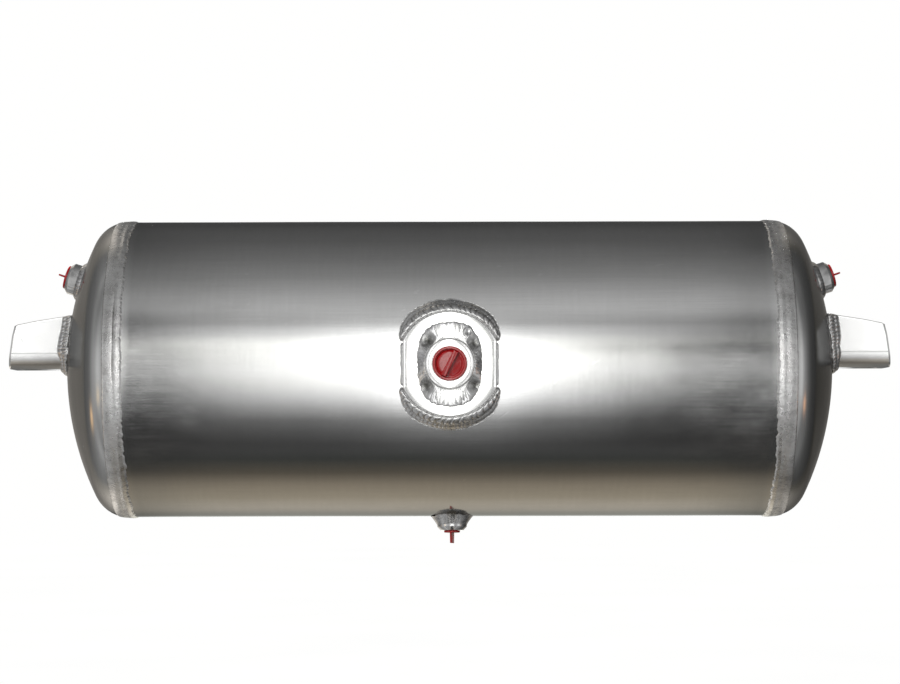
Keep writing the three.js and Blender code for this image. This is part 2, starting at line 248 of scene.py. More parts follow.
class Nodes:
    """Short names for building a node tree."""

    def __init__(self, tree):
        tree.nodes.clear()
        self.tree = tree

    def add(self, kind, inputs=None, **settings):
        node = self.tree.nodes.new("ShaderNode" + kind)
        for key, value in settings.items():
            setattr(node, key, value)
        for key, value in (inputs or {}).items():
            if isinstance(value, bpy.types.NodeSocket):
                self.tree.links.new(value, node.inputs[key])
            else:
                node.inputs[key].default_value = value
        return node

    def maths(self, operation, a, b=0.0):
        return self.add("Math", {0: a, 1: b}, operation=operation).outputs[0]

    def times(self, a, b):
        return self.maths("MULTIPLY", a, b)

    def total(self, *terms):
        """The sum of the terms, where a pair counts as its product."""
        whole = None
        for term in terms:
            if isinstance(term, tuple):
                term = self.times(*term)
            whole = term if whole is None else self.maths("ADD", whole, term)
        return whole

    def length(self, *parts):
        return self.maths("SQRT", self.total(*((part, part) for part in parts)))

    def marks(self, *names):
        """The values that the beads' meshes carry."""
        return [self.add("Attribute", attribute_name=name).outputs["Fac"] for name in names]

    def noise(self, where, scale, detail=3.0, rough=0.55, stretch=(1, 1, 1), shift=(0, 0, 0)):
        mapping = self.add("Mapping", {"Vector": where, "Location": shift, "Scale": stretch})
        inputs = {"Vector": mapping.outputs[0], "Scale": scale, "Detail": detail, "Roughness": rough}
        return self.add("TexNoise", inputs).outputs[0]

    def scratches(self, where, scale, length, turn, share):
        """Sparse fine lines: stretched noise, kept only where it peaks."""
        mapping = self.add("Mapping", {"Vector": where, "Rotation": turn})
        lines = self.noise(mapping.outputs[0], scale, 2, 0.5, (1 / length, 1, 1))
        return self.band(lines, share, share + 0.04)

    def band(self, value, low, high, to_low=0.0, to_high=1.0):
        inputs = {"Value": value, 1: low, 2: high, 3: to_low, 4: to_high}
        return self.add("MapRange", inputs, clamp=True).outputs[0]

    def ramp(self, value, stops, low=0.0, high=1.0, gain=1.0):
        """stops are (place between low and high, grey or colour)."""
        node = self.add("ValToRGB", {0: value})
        elements = node.color_ramp.elements
        elements.remove(elements[-1])
        for index, (place, colour) in enumerate(stops):
            position = (place - low) / (high - low)
            element = elements.new(position) if index else elements[0]
            element.position = position
            element.color = (*(part * gain for part in rgb(colour)), 1)
        return node.outputs[0]

    def mix(self, factor, a, b, blend="MIX"):
        a, b = (v if isinstance(v, bpy.types.NodeSocket) else (*rgb(v), 1) for v in (a, b))
        inputs = {0: factor, 6: a, 7: b}
        return self.add("Mix", inputs, data_type="RGBA", blend_type=blend, clamp_factor=True).outputs[2]

    def layers(self, colour, *coats):
        """Coats are (mask, share, grey or colour), each laid over what is there."""
        for mask, share, tint in coats:
            colour = self.mix(self.times(mask, share), colour, tint)
        return colour

    def surface(self, shader, kind="Material"):
        self.add("Output" + kind, {"Surface": shader.outputs[0]})


# ---- Finishes ----

# The rest of the surface is the thin oxide film that scatters light.
METAL_SHARE = 0.97
# How much of what sheet and heads mirror is left at a grazing angle.
SATIN_EDGE = 0.3


def finish_metal(n, colour, roughness, height, bump_distance, edge=1.0):
    bump = n.add("Bump", {"Height": height, "Distance": bump_distance})
    n.surface(n.add("BsdfPrincipled", {
        "Base Color": colour,
        "Roughness": roughness,
        "Normal": bump.outputs[0],
        "Metallic": METAL_SHARE,
        "Specular Tint": (edge, edge, edge, 1),
    }))


def rolled_aluminium(n, where):
    """Sheet with a grain along the vessel, faint cross streaks, smudges and fine scratches."""
    cloud = n.noise(where, 26, 3, 0.6, (1, 1.6, 1.6), (3, 1, 2))
    grain = n.noise(where, 60, 3, 0.7, (0.25, 22, 22))
    fine = n.noise(where, 60, 2, 0.7, (1.2, 60, 60), (5, 5, 5))
    cross = n.noise(where, 60, 3, 0.6, (4.5, 0.5, 0.5), (1, 4, 2))
    smudge = n.band(n.noise(where, 16, 5, 0.65, (0.5, 1, 1), (8, 2, 4)), 0.5, 0.72)
    marks = n.scratches(where, 260, 14, (0.2, 0.5, 0.35), 0.72)
    hairs = n.scratches(where, 420, 30, (0.0, 0.08, 0.02), 0.7)
    colour = n.layers(
        n.mix(n.noise(where, 7, 4, 0.6), (0.66, 0.665, 0.66), (0.8, 0.8, 0.795)),
        (n.band(grain, 0.3, 0.7), 0.22, (0.56, 0.56, 0.55)),
        (n.band(cross, 0.4, 0.7), 0.12, 0.86),
        (smudge, 0.16, (0.55, 0.545, 0.53)),
        (marks, 0.25, 0.92),
    )
    rough = n.total(n.band(cloud, 0.3, 0.7, 0.06, 0.1), (smudge, 0.04), n.band(grain, 0.3, 0.7, -0.02, 0.02))
    height = n.total(grain, (fine, 0.5), (cross, 0.35), (marks, -0.5), (hairs, -0.5))
    finish_metal(n, colour, rough, height, 0.000009, SATIN_EDGE)


def spun_aluminium(n, where):
    """A spun head: rings about the vessel's axis over soft patches, with painted shade, darker and rougher,
    round the bracket's root and the port's weld.
    """
    x, y, z = n.add("SeparateXYZ", {0: where}).outputs
    ring_place = n.add("CombineXYZ", {0: x, 1: n.length(y, z)}).outputs[0]
    rings = n.noise(ring_place, 420, 3, 0.6, (1.0, 1.6, 1))
    wide = n.noise(ring_place, 70, 2, 0.5, (1, 1.5, 1))
    cloud = n.noise(where, 34, 4, 0.65, shift=(2, 6, 1))
    dull = n.band(n.noise(where, 22, 5, 0.7, (1, 1, 0.6), (4, 4, 9)), 0.48, 0.7)
    marks = n.scratches(where, 300, 10, (0.9, 0.4, 1.1), 0.73)

    # Distances in metres from the bracket's outline and from the port's weld.
    bracket_height, bracket_half_tall, weld_radius = 0.022, 0.023, 0.017
    beside = n.maths("ABSOLUTE", y)
    past = n.maths("MAXIMUM", n.total(beside, -BRACKET_HALF * MM), 0.0)
    aloft = n.maths("ABSOLUTE", n.total(z, -bracket_height))
    clear = n.maths("MAXIMUM", n.total(aloft, -bracket_half_tall), 0.0)
    to_port = n.total(n.length(beside, n.total(z, -PORT_HEIGHT * MM)), -weld_radius)
    ragged = n.band(n.noise(where, 60, 4, 0.65, shift=(9, 2, 7)), 0.3, 0.7, -0.006, 0.006)
    near = n.total(n.maths("MINIMUM", n.length(past, clear), to_port), ragged)
    # Painted shade: the head is darkened, and made rougher, round the bracket's root and the port's weld.
    painted_shade_zone = n.band(near, 0.022, 0.006)

    colour = n.layers(
        n.mix(n.noise(where, 9, 4, 0.6), (0.58, 0.585, 0.58), (0.74, 0.74, 0.735)),
        (n.band(rings, 0.35, 0.65), 0.2, (0.5, 0.5, 0.495)),
        (dull, 0.25, (0.46, 0.455, 0.44)),
        (marks, 0.25, 0.9),
        (painted_shade_zone, 0.75, (0.24, 0.23, 0.21)),
    )
    rough = n.total(n.band(cloud, 0.3, 0.7, 0.13, 0.2), (dull, 0.06), (painted_shade_zone, 0.24))
    height = n.total((rings, 0.8), wide, (cloud, 0.6))
    finish_metal(n, colour, rough, height, 0.000014, SATIN_EDGE)


def weld_metal(n, where):
    """Cast bead: mottled, with dark specks, painted shade in its ripples' troughs and along its toes, a
    painted highlight on its raised lip, and darker dips.
    """
    toe, valley_shade, dip, lip, calm = n.marks("toe", "valley_shade", "dip", "lip", "calm")
    mottle = n.noise(where, 190, 4, 0.7)
    fine = n.noise(where, 900, 3, 0.7)
    patch = n.noise(where, 60, 3, 0.6, shift=(7, 3, 5))
    # Painted shade along the toes, in patches.
    toe_shade = n.times(toe, n.band(n.noise(where, 130, 4, 0.7, shift=(1, 9, 4)), 0.45, 0.65))
    # A mottle for the darker colour in the front weld's four dips.
    dip_mottle = n.band(n.noise(where, 260, 4, 0.7, shift=(6, 2, 4)), 0.3, 0.5, 0.55, 1)
    specks = n.band(n.noise(where, 380, 3, 0.7, shift=(3, 8, 2)), 0.52, 0.64)
    # Painted shade in the ripples' troughs and along the toes, and a painted highlight on the raised lip.
    colour = n.layers(
        n.mix(mottle, (0.76, 0.76, 0.765), (0.95, 0.95, 0.94)),
        (n.band(patch, 0.5, 0.72), 0.3, (0.66, 0.65, 0.7)),
        (n.times(specks, n.band(calm, 0, 1, 1, 0)), 0.55, (0.27, 0.26, 0.24)),
        (n.band(valley_shade, 0.25, 1), 0.7, (0.16, 0.158, 0.15)),
        (toe_shade, 0.6, (0.16, 0.155, 0.14)),
        (lip, 0.8, (0.95, 0.95, 0.94)),
        (n.times(n.maths("POWER", dip, 0.7), dip_mottle), 0.9, (0.1, 0.1, 0.085)),
    )
    rough = n.times(n.band(mottle, 0.3, 0.7, 0.17, 0.3), n.band(calm, 0, 1, 1, 0.5))
    rough = n.total(rough, (toe_shade, 0.2), (lip, 0.15))
    height = n.times(n.total((mottle, 1.2), (fine, 0.5)), n.band(calm, 0, 1, 1, 0.12))
    finish_metal(n, colour, rough, height, 0.00009)


def seam_metal(n, where):
    """The wide circumferential bead, brushed over: pale and close-grained, with painted shade along its
    edges, in its root's crack and in its ripples' troughs.
    """
    toe, valley_shade = n.marks("toe", "valley_shade")
    mottle = n.noise(where, 210, 4, 0.7)
    fine = n.noise(where, 800, 3, 0.75)
    brushed = n.noise(where, 150, 4, 0.7, (0.4, 1.6, 1.6), (4, 8, 3))
    patch = n.noise(where, 36, 3, 0.6, shift=(7, 3, 5))
    stain = n.noise(where, 95, 5, 0.75, shift=(2, 5, 11))
    # Painted shade along the edges and in the root's crack, in patches.
    toe_shade = n.times(toe, n.band(n.noise(where, 150, 5, 0.75, shift=(1, 9, 4)), 0.4, 0.6))
    colour = n.layers(
        n.mix(mottle, (0.8, 0.8, 0.795), (0.99, 0.99, 0.98)),
        (n.band(brushed, 0.4, 0.65), 0.3, (0.6, 0.6, 0.595)),
        (n.band(patch, 0.48, 0.7), 0.35, (0.72, 0.68, 0.68)),
        (n.band(stain, 0.5, 0.68), 0.6, (0.42, 0.415, 0.4)),
        (n.band(stain, 0.45, 0.3), 0.6, (0.97, 0.97, 0.96)),
        (n.band(valley_shade, 0.2, 1), 0.7, (0.2, 0.195, 0.18)),
        (toe_shade, 0.75, (0.14, 0.135, 0.12)),
    )
    rough = n.total(n.band(mottle, 0.3, 0.7, 0.23, 0.36), (toe_shade, 0.15))
    finish_metal(n, colour, rough, n.total((brushed, 0.8), fine), 0.00006)


def machined_aluminium(n, where):
    """Turned faces and sides: close rings about the port's own axis, bright, with small nicks."""
    x, y, z = n.add("SeparateXYZ", {0: where}).outputs
    ring_place = n.add("CombineXYZ", {0: n.length(x, y), 1: z}).outputs[0]
    rings = n.noise(ring_place, 1500, 2, 0.6)
    wide = n.noise(ring_place, 260, 2, 0.5)
    nicks = n.scratches(where, 420, 7, (1.1, 0.7, 0.4), 0.74)
    colour = n.layers(
        n.mix(n.noise(where, 40, 4, 0.6), (0.84, 0.84, 0.835), (0.95, 0.95, 0.945)),
        (n.band(rings, 0.4, 0.65), 0.15, (0.74, 0.74, 0.73)),
        (nicks, 0.3, (0.6, 0.6, 0.59)),
    )
    height = n.total(rings, (wide, 0.8), (nicks, -0.8))
    finish_metal(n, colour, n.band(wide, 0.3, 0.7, 0.1, 0.16), height, 0.000008)


def folded_plate(n, where):
    """Bracket plate: bright, with a drawn grain along it, handling marks and worn edges."""
    grain = n.noise(where, 60, 3, 0.7, (0.5, 26, 26))
    cloud = n.noise(where, 70, 4, 0.65, shift=(5, 2, 8))
    marks = n.scratches(where, 330, 9, (0.4, 1.2, 0.3), 0.73)
    edge = n.band(n.add("NewGeometry").outputs["Pointiness"], 0.5, 0.56)
    colour = n.layers(
        n.mix(n.noise(where, 22, 4, 0.6), (0.84, 0.84, 0.83), (0.95, 0.95, 0.94)),
        (n.band(grain, 0.3, 0.7), 0.14, (0.72, 0.72, 0.7)),
        (marks, 0.3, (0.6, 0.6, 0.58)),
        (edge, 0.4, (0.97, 0.97, 0.96)),
    )
    height = n.total(grain, (cloud, 0.7), (marks, -0.7))
    finish_metal(n, colour, n.band(cloud, 0.3, 0.7, 0.1, 0.15), height, 0.000012)


def red_plastic(n, where):
    """Glossy moulded plastic with a faint orange-peel surface and scuffed edges."""
    peel = n.noise(where, 1100, 2, 0.5)
    flow = n.noise(where, 240, 3, 0.6, (1, 4, 1), (3, 1, 7))
    scuffs = n.scratches(where, 600, 6, (0.7, 0.3, 0.9), 0.74)
    edge = n.band(n.add("NewGeometry").outputs["Pointiness"], 0.52, 0.6)
    colour = n.layers(
        n.mix(n.noise(where, 90, 3, 0.5), (0.36, 0.001, 0.003), (0.46, 0.003, 0.005)),
        (n.band(flow, 0.4, 0.7), 0.25, (0.2, 0.002, 0.005)),
        (edge, 0.15, (0.7, 0.05, 0.045)),
        (scuffs, 0.14, (0.75, 0.15, 0.13)),
    )
    bump = n.add("Bump", {"Height": n.total(peel, (scuffs, -0.6)), "Distance": 0.00002})
    n.surface(n.add("BsdfPrincipled", {
        "Base Color": colour,
        "Roughness": n.total(n.band(flow, 0.3, 0.7, 0.06, 0.12), (scuffs, 0.25)),
        "Normal": bump.outputs[0],
        "IOR": 1.58,
        "Coat Weight": 0.2,
        "Coat Roughness": 0.05,
        "Subsurface Weight": 0.12,
        "Subsurface Scale": 0.002,
        "Subsurface Radius": (1.0, 0.15, 0.1),
    }))


def pale_floor(n, where):
    """Bright paint from above, see-through from underneath."""
    colour = n.mix(n.noise(where, 1.5, 3, 0.5), (0.93, 0.93, 0.925), (0.96, 0.96, 0.955))
    paint = n.add("Emission", {"Color": colour, "Strength": 1.06})
    under = n.add("NewGeometry").outputs["Backfacing"]
    clear = n.add("BsdfTransparent")
    n.surface(n.add("MixShader", {0: under, 1: paint.outputs[0], 2: clear.outputs[0]}))


def material_of(paint):
    """The material that one of the functions above paints, under that function's name."""
    material = bpy.data.materials.new(paint.__name__)
    material.use_nodes = True
    n = Nodes(material.node_tree)
    paint(n, n.add("TexCoord").outputs["Object"])
    return material


ROLLED = material_of(rolled_aluminium)
SPUN = material_of(spun_aluminium)
WELD = material_of(weld_metal)
SEAM = material_of(seam_metal)
MACHINED = material_of(machined_aluminium)
FOLDED = material_of(folded_plate)
PLASTIC = material_of(red_plastic)
FLOOR = material_of(pale_floor)

# ---- Surfaces that things stand on ----


def on_shell(x, y):
    return np.sqrt(VESSEL_RADIUS**2 - y**2)


def on_crown(x, y):
    return np.sqrt(CROWN_RADIUS**2 - x**2 - y**2)


def on_pad(x, y):
    return PAD_FACE + 0 * x


def head_radius(x):
    """The head's outside between its tangent line and the end of its knuckle."""
    inside = np.maximum(KNUCKLE_RADIUS**2 - np.maximum(x - KNUCKLE_CENTRE, 0) ** 2, 0)
    return KNUCKLE_RING + np.sqrt(inside)


# ---- Vessel ----


DEEPEST_DENT = 0.14
FRONT_HOLE = 20.0
DRAIN_HOLE = 12.6
END_HOLE = 13.3


def make_shell():
    """The rolled tube, very slightly uneven, with the holes of its two ports."""
    columns, rows = 288, 90
    x = np.linspace(-SHELL_END, SHELL_END, rows)
    profile = [(v, VESSEL_RADIUS) for v in x] + [(SHELL_END, VESSEL_RADIUS - PLATE)]
    profile += [(0.0, VESSEL_RADIUS - PLATE), (-SHELL_END, VESSEL_RADIUS - PLATE)]
    points = turned_on_vessel(profile, columns)
    angle = np.arange(columns) / columns
    u, v = np.meshgrid(x / 46 + 40, angle * 14, indexing="ij")
    wave = noise_sheet(u, v, 11, 14) * 0.05
    u, v = np.meshgrid(x / 120 + 20, angle * 5, indexing="ij")
    wave += noise_sheet(u, v, 12, 5) * 0.09
    wave *= np.minimum(1, (SHELL_END - np.abs(x)) / 20)[:, None]
    grow = (wave - DEEPEST_DENT) * (np.abs(x) < SHELL_END)[:, None] / VESSEL_RADIUS
    points[:rows, :, 1:] *= 1 + grow[..., None]
    shell = loose_object("shell_tube", cleaned(grid_mesh(points), 38))
    combine(shell, [rod(FRONT_HOLE, 80, 150, FRONT), rod(DRAIN_HOLE, 80, 150, DRAIN)], "DIFFERENCE")
    piece(shell, ROLLED, ["shell"])


def head_section(inset, knuckle_steps, crown_steps):
    """(x, radius) points from the tangent line to the apex."""
    knuckle = arc((KNUCKLE_CENTRE, KNUCKLE_RING), KNUCKLE_RADIUS - inset, math.pi / 2, KNUCKLE_JOIN,
                  knuckle_steps)
    return knuckle[:-1] + arc((CROWN_CENTRE, 0), CROWN_RADIUS - inset, KNUCKLE_JOIN, 0, crown_steps)


def make_head(side, place, port):
    outside = head_section(0, 22, 34)
    inside = head_section(PLATE, 8, 12)
    profile = [(HEAD_START, VESSEL_RADIUS)] + outside + inside[::-1] + [(HEAD_START, VESSEL_RADIUS - PLATE)]
    points = turned_on_vessel(profile, 288)
    head = loose_object(f"{side}_dished_head", cleaned(grid_mesh(points), 38), place)
    combine(head, [rod(END_HOLE, 220, 262, port)], "DIFFERENCE")
    piece(head, SPUN, [f"{side}_head"])


def make_backing_ring(side, place):
    clearance, thick, edge = 0.3, 3, 0.6
    outer = VESSEL_RADIUS - PLATE - clearance
    inner = outer - thick
    low, high = 252.0, KNUCKLE_CENTRE
    profile = [(low + edge, outer), (high - edge, outer), (high, outer - edge), (high, inner + edge)]
    profile += [(high - edge, inner), (low + edge, inner), (low, inner + edge), (low, outer - edge)]
    ring = loose_object(f"{side}_inner_ring", grid_mesh(turned_on_vessel(profile, 192)), place)
    piece(ring, ROLLED, [f"{side}_backing_ring"])


def make_seam(side, place, seed, root_shows):
    """A wide, flat, brushed bead: ragged on the shell's side, crisp on the head's.

    root_shows is how clearly the unfilled root shows, over a short stretch at the front.
    """
    columns = 1500
    angle = np.arange(columns) * TAU / columns
    along = angle / TAU
    x = np.concatenate([
        np.linspace(SEAM_START, SEAM_START + 3.2, 12),
        np.linspace(SEAM_START + 3.7, SEAM_CRACK - 0.5, 8),
        np.linspace(SEAM_CRACK - 0.2, SEAM_CRACK + 0.4, 4),
        np.linspace(SEAM_CRACK + 0.9, SEAM_END - 0.7, 9),
        np.linspace(SEAM_END - 0.5, SEAM_END, 3),
    ])
    x, s = np.meshgrid(x, along, indexing="ij")
    t = (x - SEAM_START) / (SEAM_END - SEAM_START)
    ragged = sum(noise(s[0] * count, seed + k, count) * size
                 for k, (count, size) in enumerate(((460, 0.6), (150, 0.6), (34, 0.5))))
    moved = x + ragged[None] * np.clip(1 - t * 2.6, 0, 1) ** 1.4
    phase = s * 240 + 2.2 * t**2 + noise(s * 170, seed + 3, 170) * 0.4
    step = phase - np.floor(phase)
    crown = (1 - (2 * step - 1) ** 2) ** 0.55
    swell = 1 + 0.22 * noise(s * 38, seed + 4, 38) + 0.14 * noise(s * 300, seed + 5, 300)
    rise = smoothstep(0, 0.1, t) * smoothstep(0, 0.05, 1 - t)
    spine = 0.3 * np.exp(-(((t - 0.26) / 0.16) ** 2)) * swell
    grain = noise_sheet(s * 1100, x * 1.8, seed + 6, 1100) * 0.022
    grain += noise_sheet(s * 420, x * 0.7, seed + 8, 420) * 0.03
    specks = smoothstep(0.62, 0.95, noise_sheet(s * 1000, x * 1.5, seed + 9, 1000)) * 0.16 * (t < 0.4)
    present = smoothstep(20, 9, np.abs(np.degrees(s * TAU) - SEAM_CRACK_AT)) * root_shows
    crack = np.exp(-(((x - SEAM_CRACK) / 0.4) ** 2)) * present * (0.8 + 0.3 * noise(s * 90, seed + 10, 90))
    thick, ripple, buried = 0.42, 0.045, 0.12
    height = (thick + spine + ripple * (crown - 0.5) + grain + specks) * rise * (1 - 0.75 * crack)
    height[0], height[-1] = -buried, buried
    base = np.where(moved < KNUCKLE_CENTRE, VESSEL_RADIUS, head_radius(moved))
    radius = np.minimum(base + height, VESSEL_RADIUS + 1)
    # Painted shade: the toe mark darkens both edges and the root's crack, the troughs' mark the ripples'
    # troughs, the crack and the head's edge.
    toe = 0.2 * np.clip(1 - t / 0.06, 0, 1) + 0.8 * crack + np.clip(1 - (1 - t) / 0.05, 0, 1)
    valley_shade = (1 - crown) * 0.25 + crack + (t > 0.985)
    under = [(SEAM_END, float(head_radius(SEAM_END)) - 0.2), (HEAD_START, VESSEL_RADIUS - 0.1)]
    under += [(HEAD_START, VESSEL_RADIUS - PLATE), (SHELL_END, VESSEL_RADIUS - PLATE)]
    under += [(SHELL_END, VESSEL_RADIUS - 0.1), (SEAM_START + 1, VESSEL_RADIUS - 0.35)]
    under = np.array(under)
    zeros = np.zeros((len(under), columns))
    moved = np.concatenate([moved, zeros + under[:, :1]])
    radius = np.concatenate([radius, zeros + under[:, 1:]])
    points = np.stack([moved, -radius * np.cos(angle), radius * np.sin(angle)], -1)
    marks = {
        "toe": np.concatenate([np.clip(toe, 0, 1), zeros]),
        "valley_shade": np.concatenate([np.clip(valley_shade, 0, 1), zeros]),
    }
    seam = loose_object(f"{side}_seam_bead", grid_mesh(points, marks=marks), place)
    piece(seam, SEAM, [f"{side}_seam_weld"], sharp_degrees=70)


# ---- Weld beads ----


def arc_length(line, closed):
    """Distances along a line of points, with the way back to the start if it is closed."""
    ends = np.roll(line, -1, 0) if closed else line[1:]
    steps = np.linalg.norm(ends - (line if closed else line[:-1]), axis=1)
    return np.concatenate([[0], np.cumsum(steps)])


def bead_points(inner, outer, root, normal, passes, closed, seed, ragged, across, cap=3.5, lip=0.0):
    """Points[step, column] of a bead between two toes, with its marks.

    inner, outer and root are lines of points, one per step, and normal points away from the corner.
    A pass is (from, to, humps, power, pitch, depths): its share of the width, its heights along the
    bead, how square its section is, and the spacing and depths of its ripples. ragged is how far its
    toe wanders, cap how far an open bead tapers at its ends, and lip how high its outer toe is raised.
    """
    steps = len(inner)
    middle = (inner + outer) / 2
    lengths = arc_length(middle, closed)
    total = lengths[-1]
    s = lengths[:steps]
    t = np.linspace(0, 1, across)
    chord = inner - outer
    width = np.linalg.norm(chord, axis=1, keepdims=True)
    toe_noise = noise(s / 1.7, seed, max(4, round(total / 1.7))) * ragged
    toe_noise += noise(s / 5.5, seed + 1, max(3, round(total / 5.5))) * ragged
    blend = smoothstep(0, 4, np.minimum(s, total - s)) if closed else 1.0
    outer = outer - chord / width * (toe_noise * blend)[:, None]
    chord = inner - outer
    points = outer[:, None] + chord[:, None] * t[None, :, None]
    lift = np.zeros((steps, across))
    valley_shade = np.zeros((steps, across))

    def spread(values):
        return np.interp(np.linspace(0, 1, steps), np.linspace(0, 1, len(values)), values)[:, None]

    for index, (start, end, humps, power, pitch, depths) in enumerate(passes):
        tau = np.clip((t - start) / (end - start), 0, 1)
        shape = np.clip(4 * tau * (1 - tau), 0, 1) ** power
        count = max(2, round(total / pitch)) if closed else total / pitch
        jitter = noise(s / 4, seed + 5 * index + 2, max(3, round(total / 4))) * 0.25 * blend
        phase = (s / total * count + jitter)[:, None] + 0.55 * (4 * tau * (1 - tau))[None]
        whole = np.floor(phase)
        crown = (1 - (2 * (phase - whole) - 1) ** 2) ** 0.55
        uneven = np.random.default_rng(seed + 5 * index + 3).uniform(0.55, 1.25, 4096)
        ripple = whole % count if closed else whole
        size = uneven[ripple.astype(int) % 4096]
        grow = spread(depths)
        one = shape[None] * (spread(humps) + grow * size * (crown - 0.45))
        lift = np.maximum(lift, one) if index else one
        valley_shade = np.where((tau > 0) & (tau < 1), (1 - crown) * np.minimum(1, grow / 0.3), valley_shade)
    ridge = np.exp(-(((t - 0.07) / 0.035) ** 2))[None] + np.zeros((steps, 1))
    lift = lift + lip * ridge
    points = points + normal[:, None] * lift[..., None]
    if not closed:
        reach = np.minimum(s, total - s)
        taper = np.sqrt(np.clip(1 - (1 - np.clip(reach / cap, 0, 1)) ** 2, 0, 1))
        points = root[:, None] + (points - root[:, None]) * taper[:, None, None]
    points = np.concatenate([points, root[:, None]], 1)
    # The toe mark carries painted shade at the toes, the troughs' mark painted shade between the ripples,
    # and the lip mark a painted highlight along the raised outer toe.
    toe = np.clip(1 - np.minimum(t / 0.16, (1 - t) / 0.12), 0, 1) + np.zeros((steps, 1))
    marks = {"toe": toe, "valley_shade": np.clip(valley_shade, 0, 1)}
    if lip:
        marks.update(toe=toe * 0.3, lip=ridge)
    # The root, the last column, is unmarked.
    return points, {name: np.pad(values, ((0, 0), (0, 1))) for name, values in marks.items()}


def bead_normals(inner, outer, root, along):
    """Directions square to a bead's face, away from its root."""
    normal = np.cross(along, inner - outer)
    normal /= np.linalg.norm(normal, axis=1, keepdims=True)
    return normal * np.sign(np.sum(normal * ((inner + outer) / 2 - root), axis=1, keepdims=True))


def make_bead(name, node, points, marks, place=HERE, closed=False):
    bead = loose_object(name, grid_mesh(points, wrap_rows=closed, marks=marks), place)
    piece(bead, WELD, [node], sharp_degrees=75)


def ring_bead(inner_radius, toe, surface, crest, passes, seed, steps, ragged, across=18):
    """A closed bead round a boss, in the port's frame. toe and crest depend on the angle."""
    angle = np.arange(steps) * TAU / steps
    c, s = np.cos(angle), np.sin(angle)
    inner_x, inner_y = inner_radius * c, inner_radius * s
    outer_x, outer_y = toe(angle) * c, toe(angle) * s
    floor = surface(inner_x, inner_y)
    inner = np.stack([inner_x, inner_y, floor + crest(angle)], -1)
    outer = np.stack([outer_x, outer_y, surface(outer_x, outer_y) - 0.15], -1)
    root = np.stack([inner_x, inner_y, floor - 0.1], -1)
    normal = bead_normals(inner, outer, root, np.roll(outer, -1, 0) - np.roll(outer, 1, 0))
    return bead_points(inner, outer, root, normal, passes, True, seed, ragged, across)


def make_long_seam():
    """The flat bead that closes the rolled sheet, at the rear."""
    steps, end, half = 1300, 258.5, 4.4
    x = np.linspace(-end, end, steps)
    out = np.array([0, -math.cos(LONG_SEAM_ANGLE), math.sin(LONG_SEAM_ANGLE)])
    side = np.array([0, math.sin(LONG_SEAM_ANGLE), math.cos(LONG_SEAM_ANGLE)])
    low = math.sqrt(VESSEL_RADIUS**2 - half**2) - 0.12
    ones = np.ones((steps, 1))
    line = np.stack([x, 0 * x, 0 * x], -1)
    wander = noise(x / 30 + 40, 31)[:, None] * 0.35
    inner = line + ones * (out * low) + side * (half + wander)
    outer = line + ones * (out * low) - side * (half - wander)
    root = line + ones * (out * (VESSEL_RADIUS - 2.2))
    passes = [(0, 1, (0.62, 0.62), 0.5, 3.1, (0.16, 0.16))]
    points, marks = bead_points(inner, outer, root, ones * out, passes, False, 32, 0.4, 16, 2.5)
    make_bead("long_seam_bead", "long_seam_weld", points, marks)


# ---- Front pad ----


def pad_reach(angle, edge=0.0):
    """How far the pad's outline, drawn in by edge, is from its middle."""
    flat = PAD_HALF_WIDTH / np.maximum(np.abs(np.cos(angle)), 1e-6)
    return np.minimum(PAD_RADIUS, flat) - edge


def make_pad():
    """The flat-faced disc with two flats; its skirt follows the shell."""
    columns, rounding = 480, 0.9
    angle = np.arange(columns) * TAU / columns
    rows = []

    def row(reach, height, on_surface=False):
        x, y = reach * np.cos(angle), reach * np.sin(angle)
        z = on_shell(x, y) + height if on_surface else height + 0 * x
        rows.append(np.stack([x, y, z], -1))

    hole = FRONT_HOLE - 0.1 + 0 * angle
    row(hole, -1.5, True)
    row(hole, PAD_FACE - 0.4)
    row(hole + 0.4, PAD_FACE)
    for share in (0.25, 0.5, 0.75):
        row(hole + (pad_reach(angle, rounding) - hole) * share, PAD_FACE)
    for k in range(6):
        turn = math.pi / 2 * k / 5
        drop = rounding - rounding * math.cos(turn)
        row(pad_reach(angle, rounding - rounding * math.sin(turn)), PAD_FACE - drop)
    row(pad_reach(angle), 0.2, True)
    row(pad_reach(angle, 0.4), -0.2, True)
    pad = loose_object("front_pad_plate", grid_mesh(np.stack(rows)), FRONT)
    piece(pad, MACHINED, ["front_pad"])


def make_pad_arc(side, sign, seed, end_depth, inner_depth):
    """The two-pass arc above or below the pad, from one flat to the other."""
    steps = 620
    angle = np.linspace(math.radians(-64), math.radians(64), steps)
    c, s = sign * np.cos(angle), np.sin(angle)
    inner_reach = np.minimum(PAD_RADIUS, (PAD_HALF_WIDTH + 0.4) / np.maximum(np.abs(s), 1e-6))
    toe_radius, past_flat, squareness = 51.6, 2.6, 14
    limit = (PAD_HALF_WIDTH + past_flat) / np.maximum(np.abs(s), 1e-6)
    outer_reach = (toe_radius**-squareness + limit**-squareness) ** (-1 / squareness)
    outer_reach = np.maximum(outer_reach, inner_reach + 1.6)

    def line(reach, height):
        x, y = reach * s, reach * c
        return np.stack([x, y, on_shell(x, y) + height], -1)

    inner = line(inner_reach, 0)
    inner[:, 2] = PAD_FACE - 1.1
    outer = line(outer_reach, -0.15)
    root = line(inner_reach - 0.3, -0.1)
    normal = bead_normals(inner, outer, root, np.gradient(outer, axis=0))
    passes = [(0.0, 0.6, (1.5, 1.5), 0.5, 3.4, end_depth), (0.42, 1.0, (2.7, 2.7), 0.42, 5.6, inner_depth)]
    points, marks = bead_points(inner, outer, root, normal, passes, False, seed, 0.45, 40, 3.0, 0.8)
    make_bead(f"pad_bead_{side}", f"pad_weld_{side}", points, marks, FRONT)


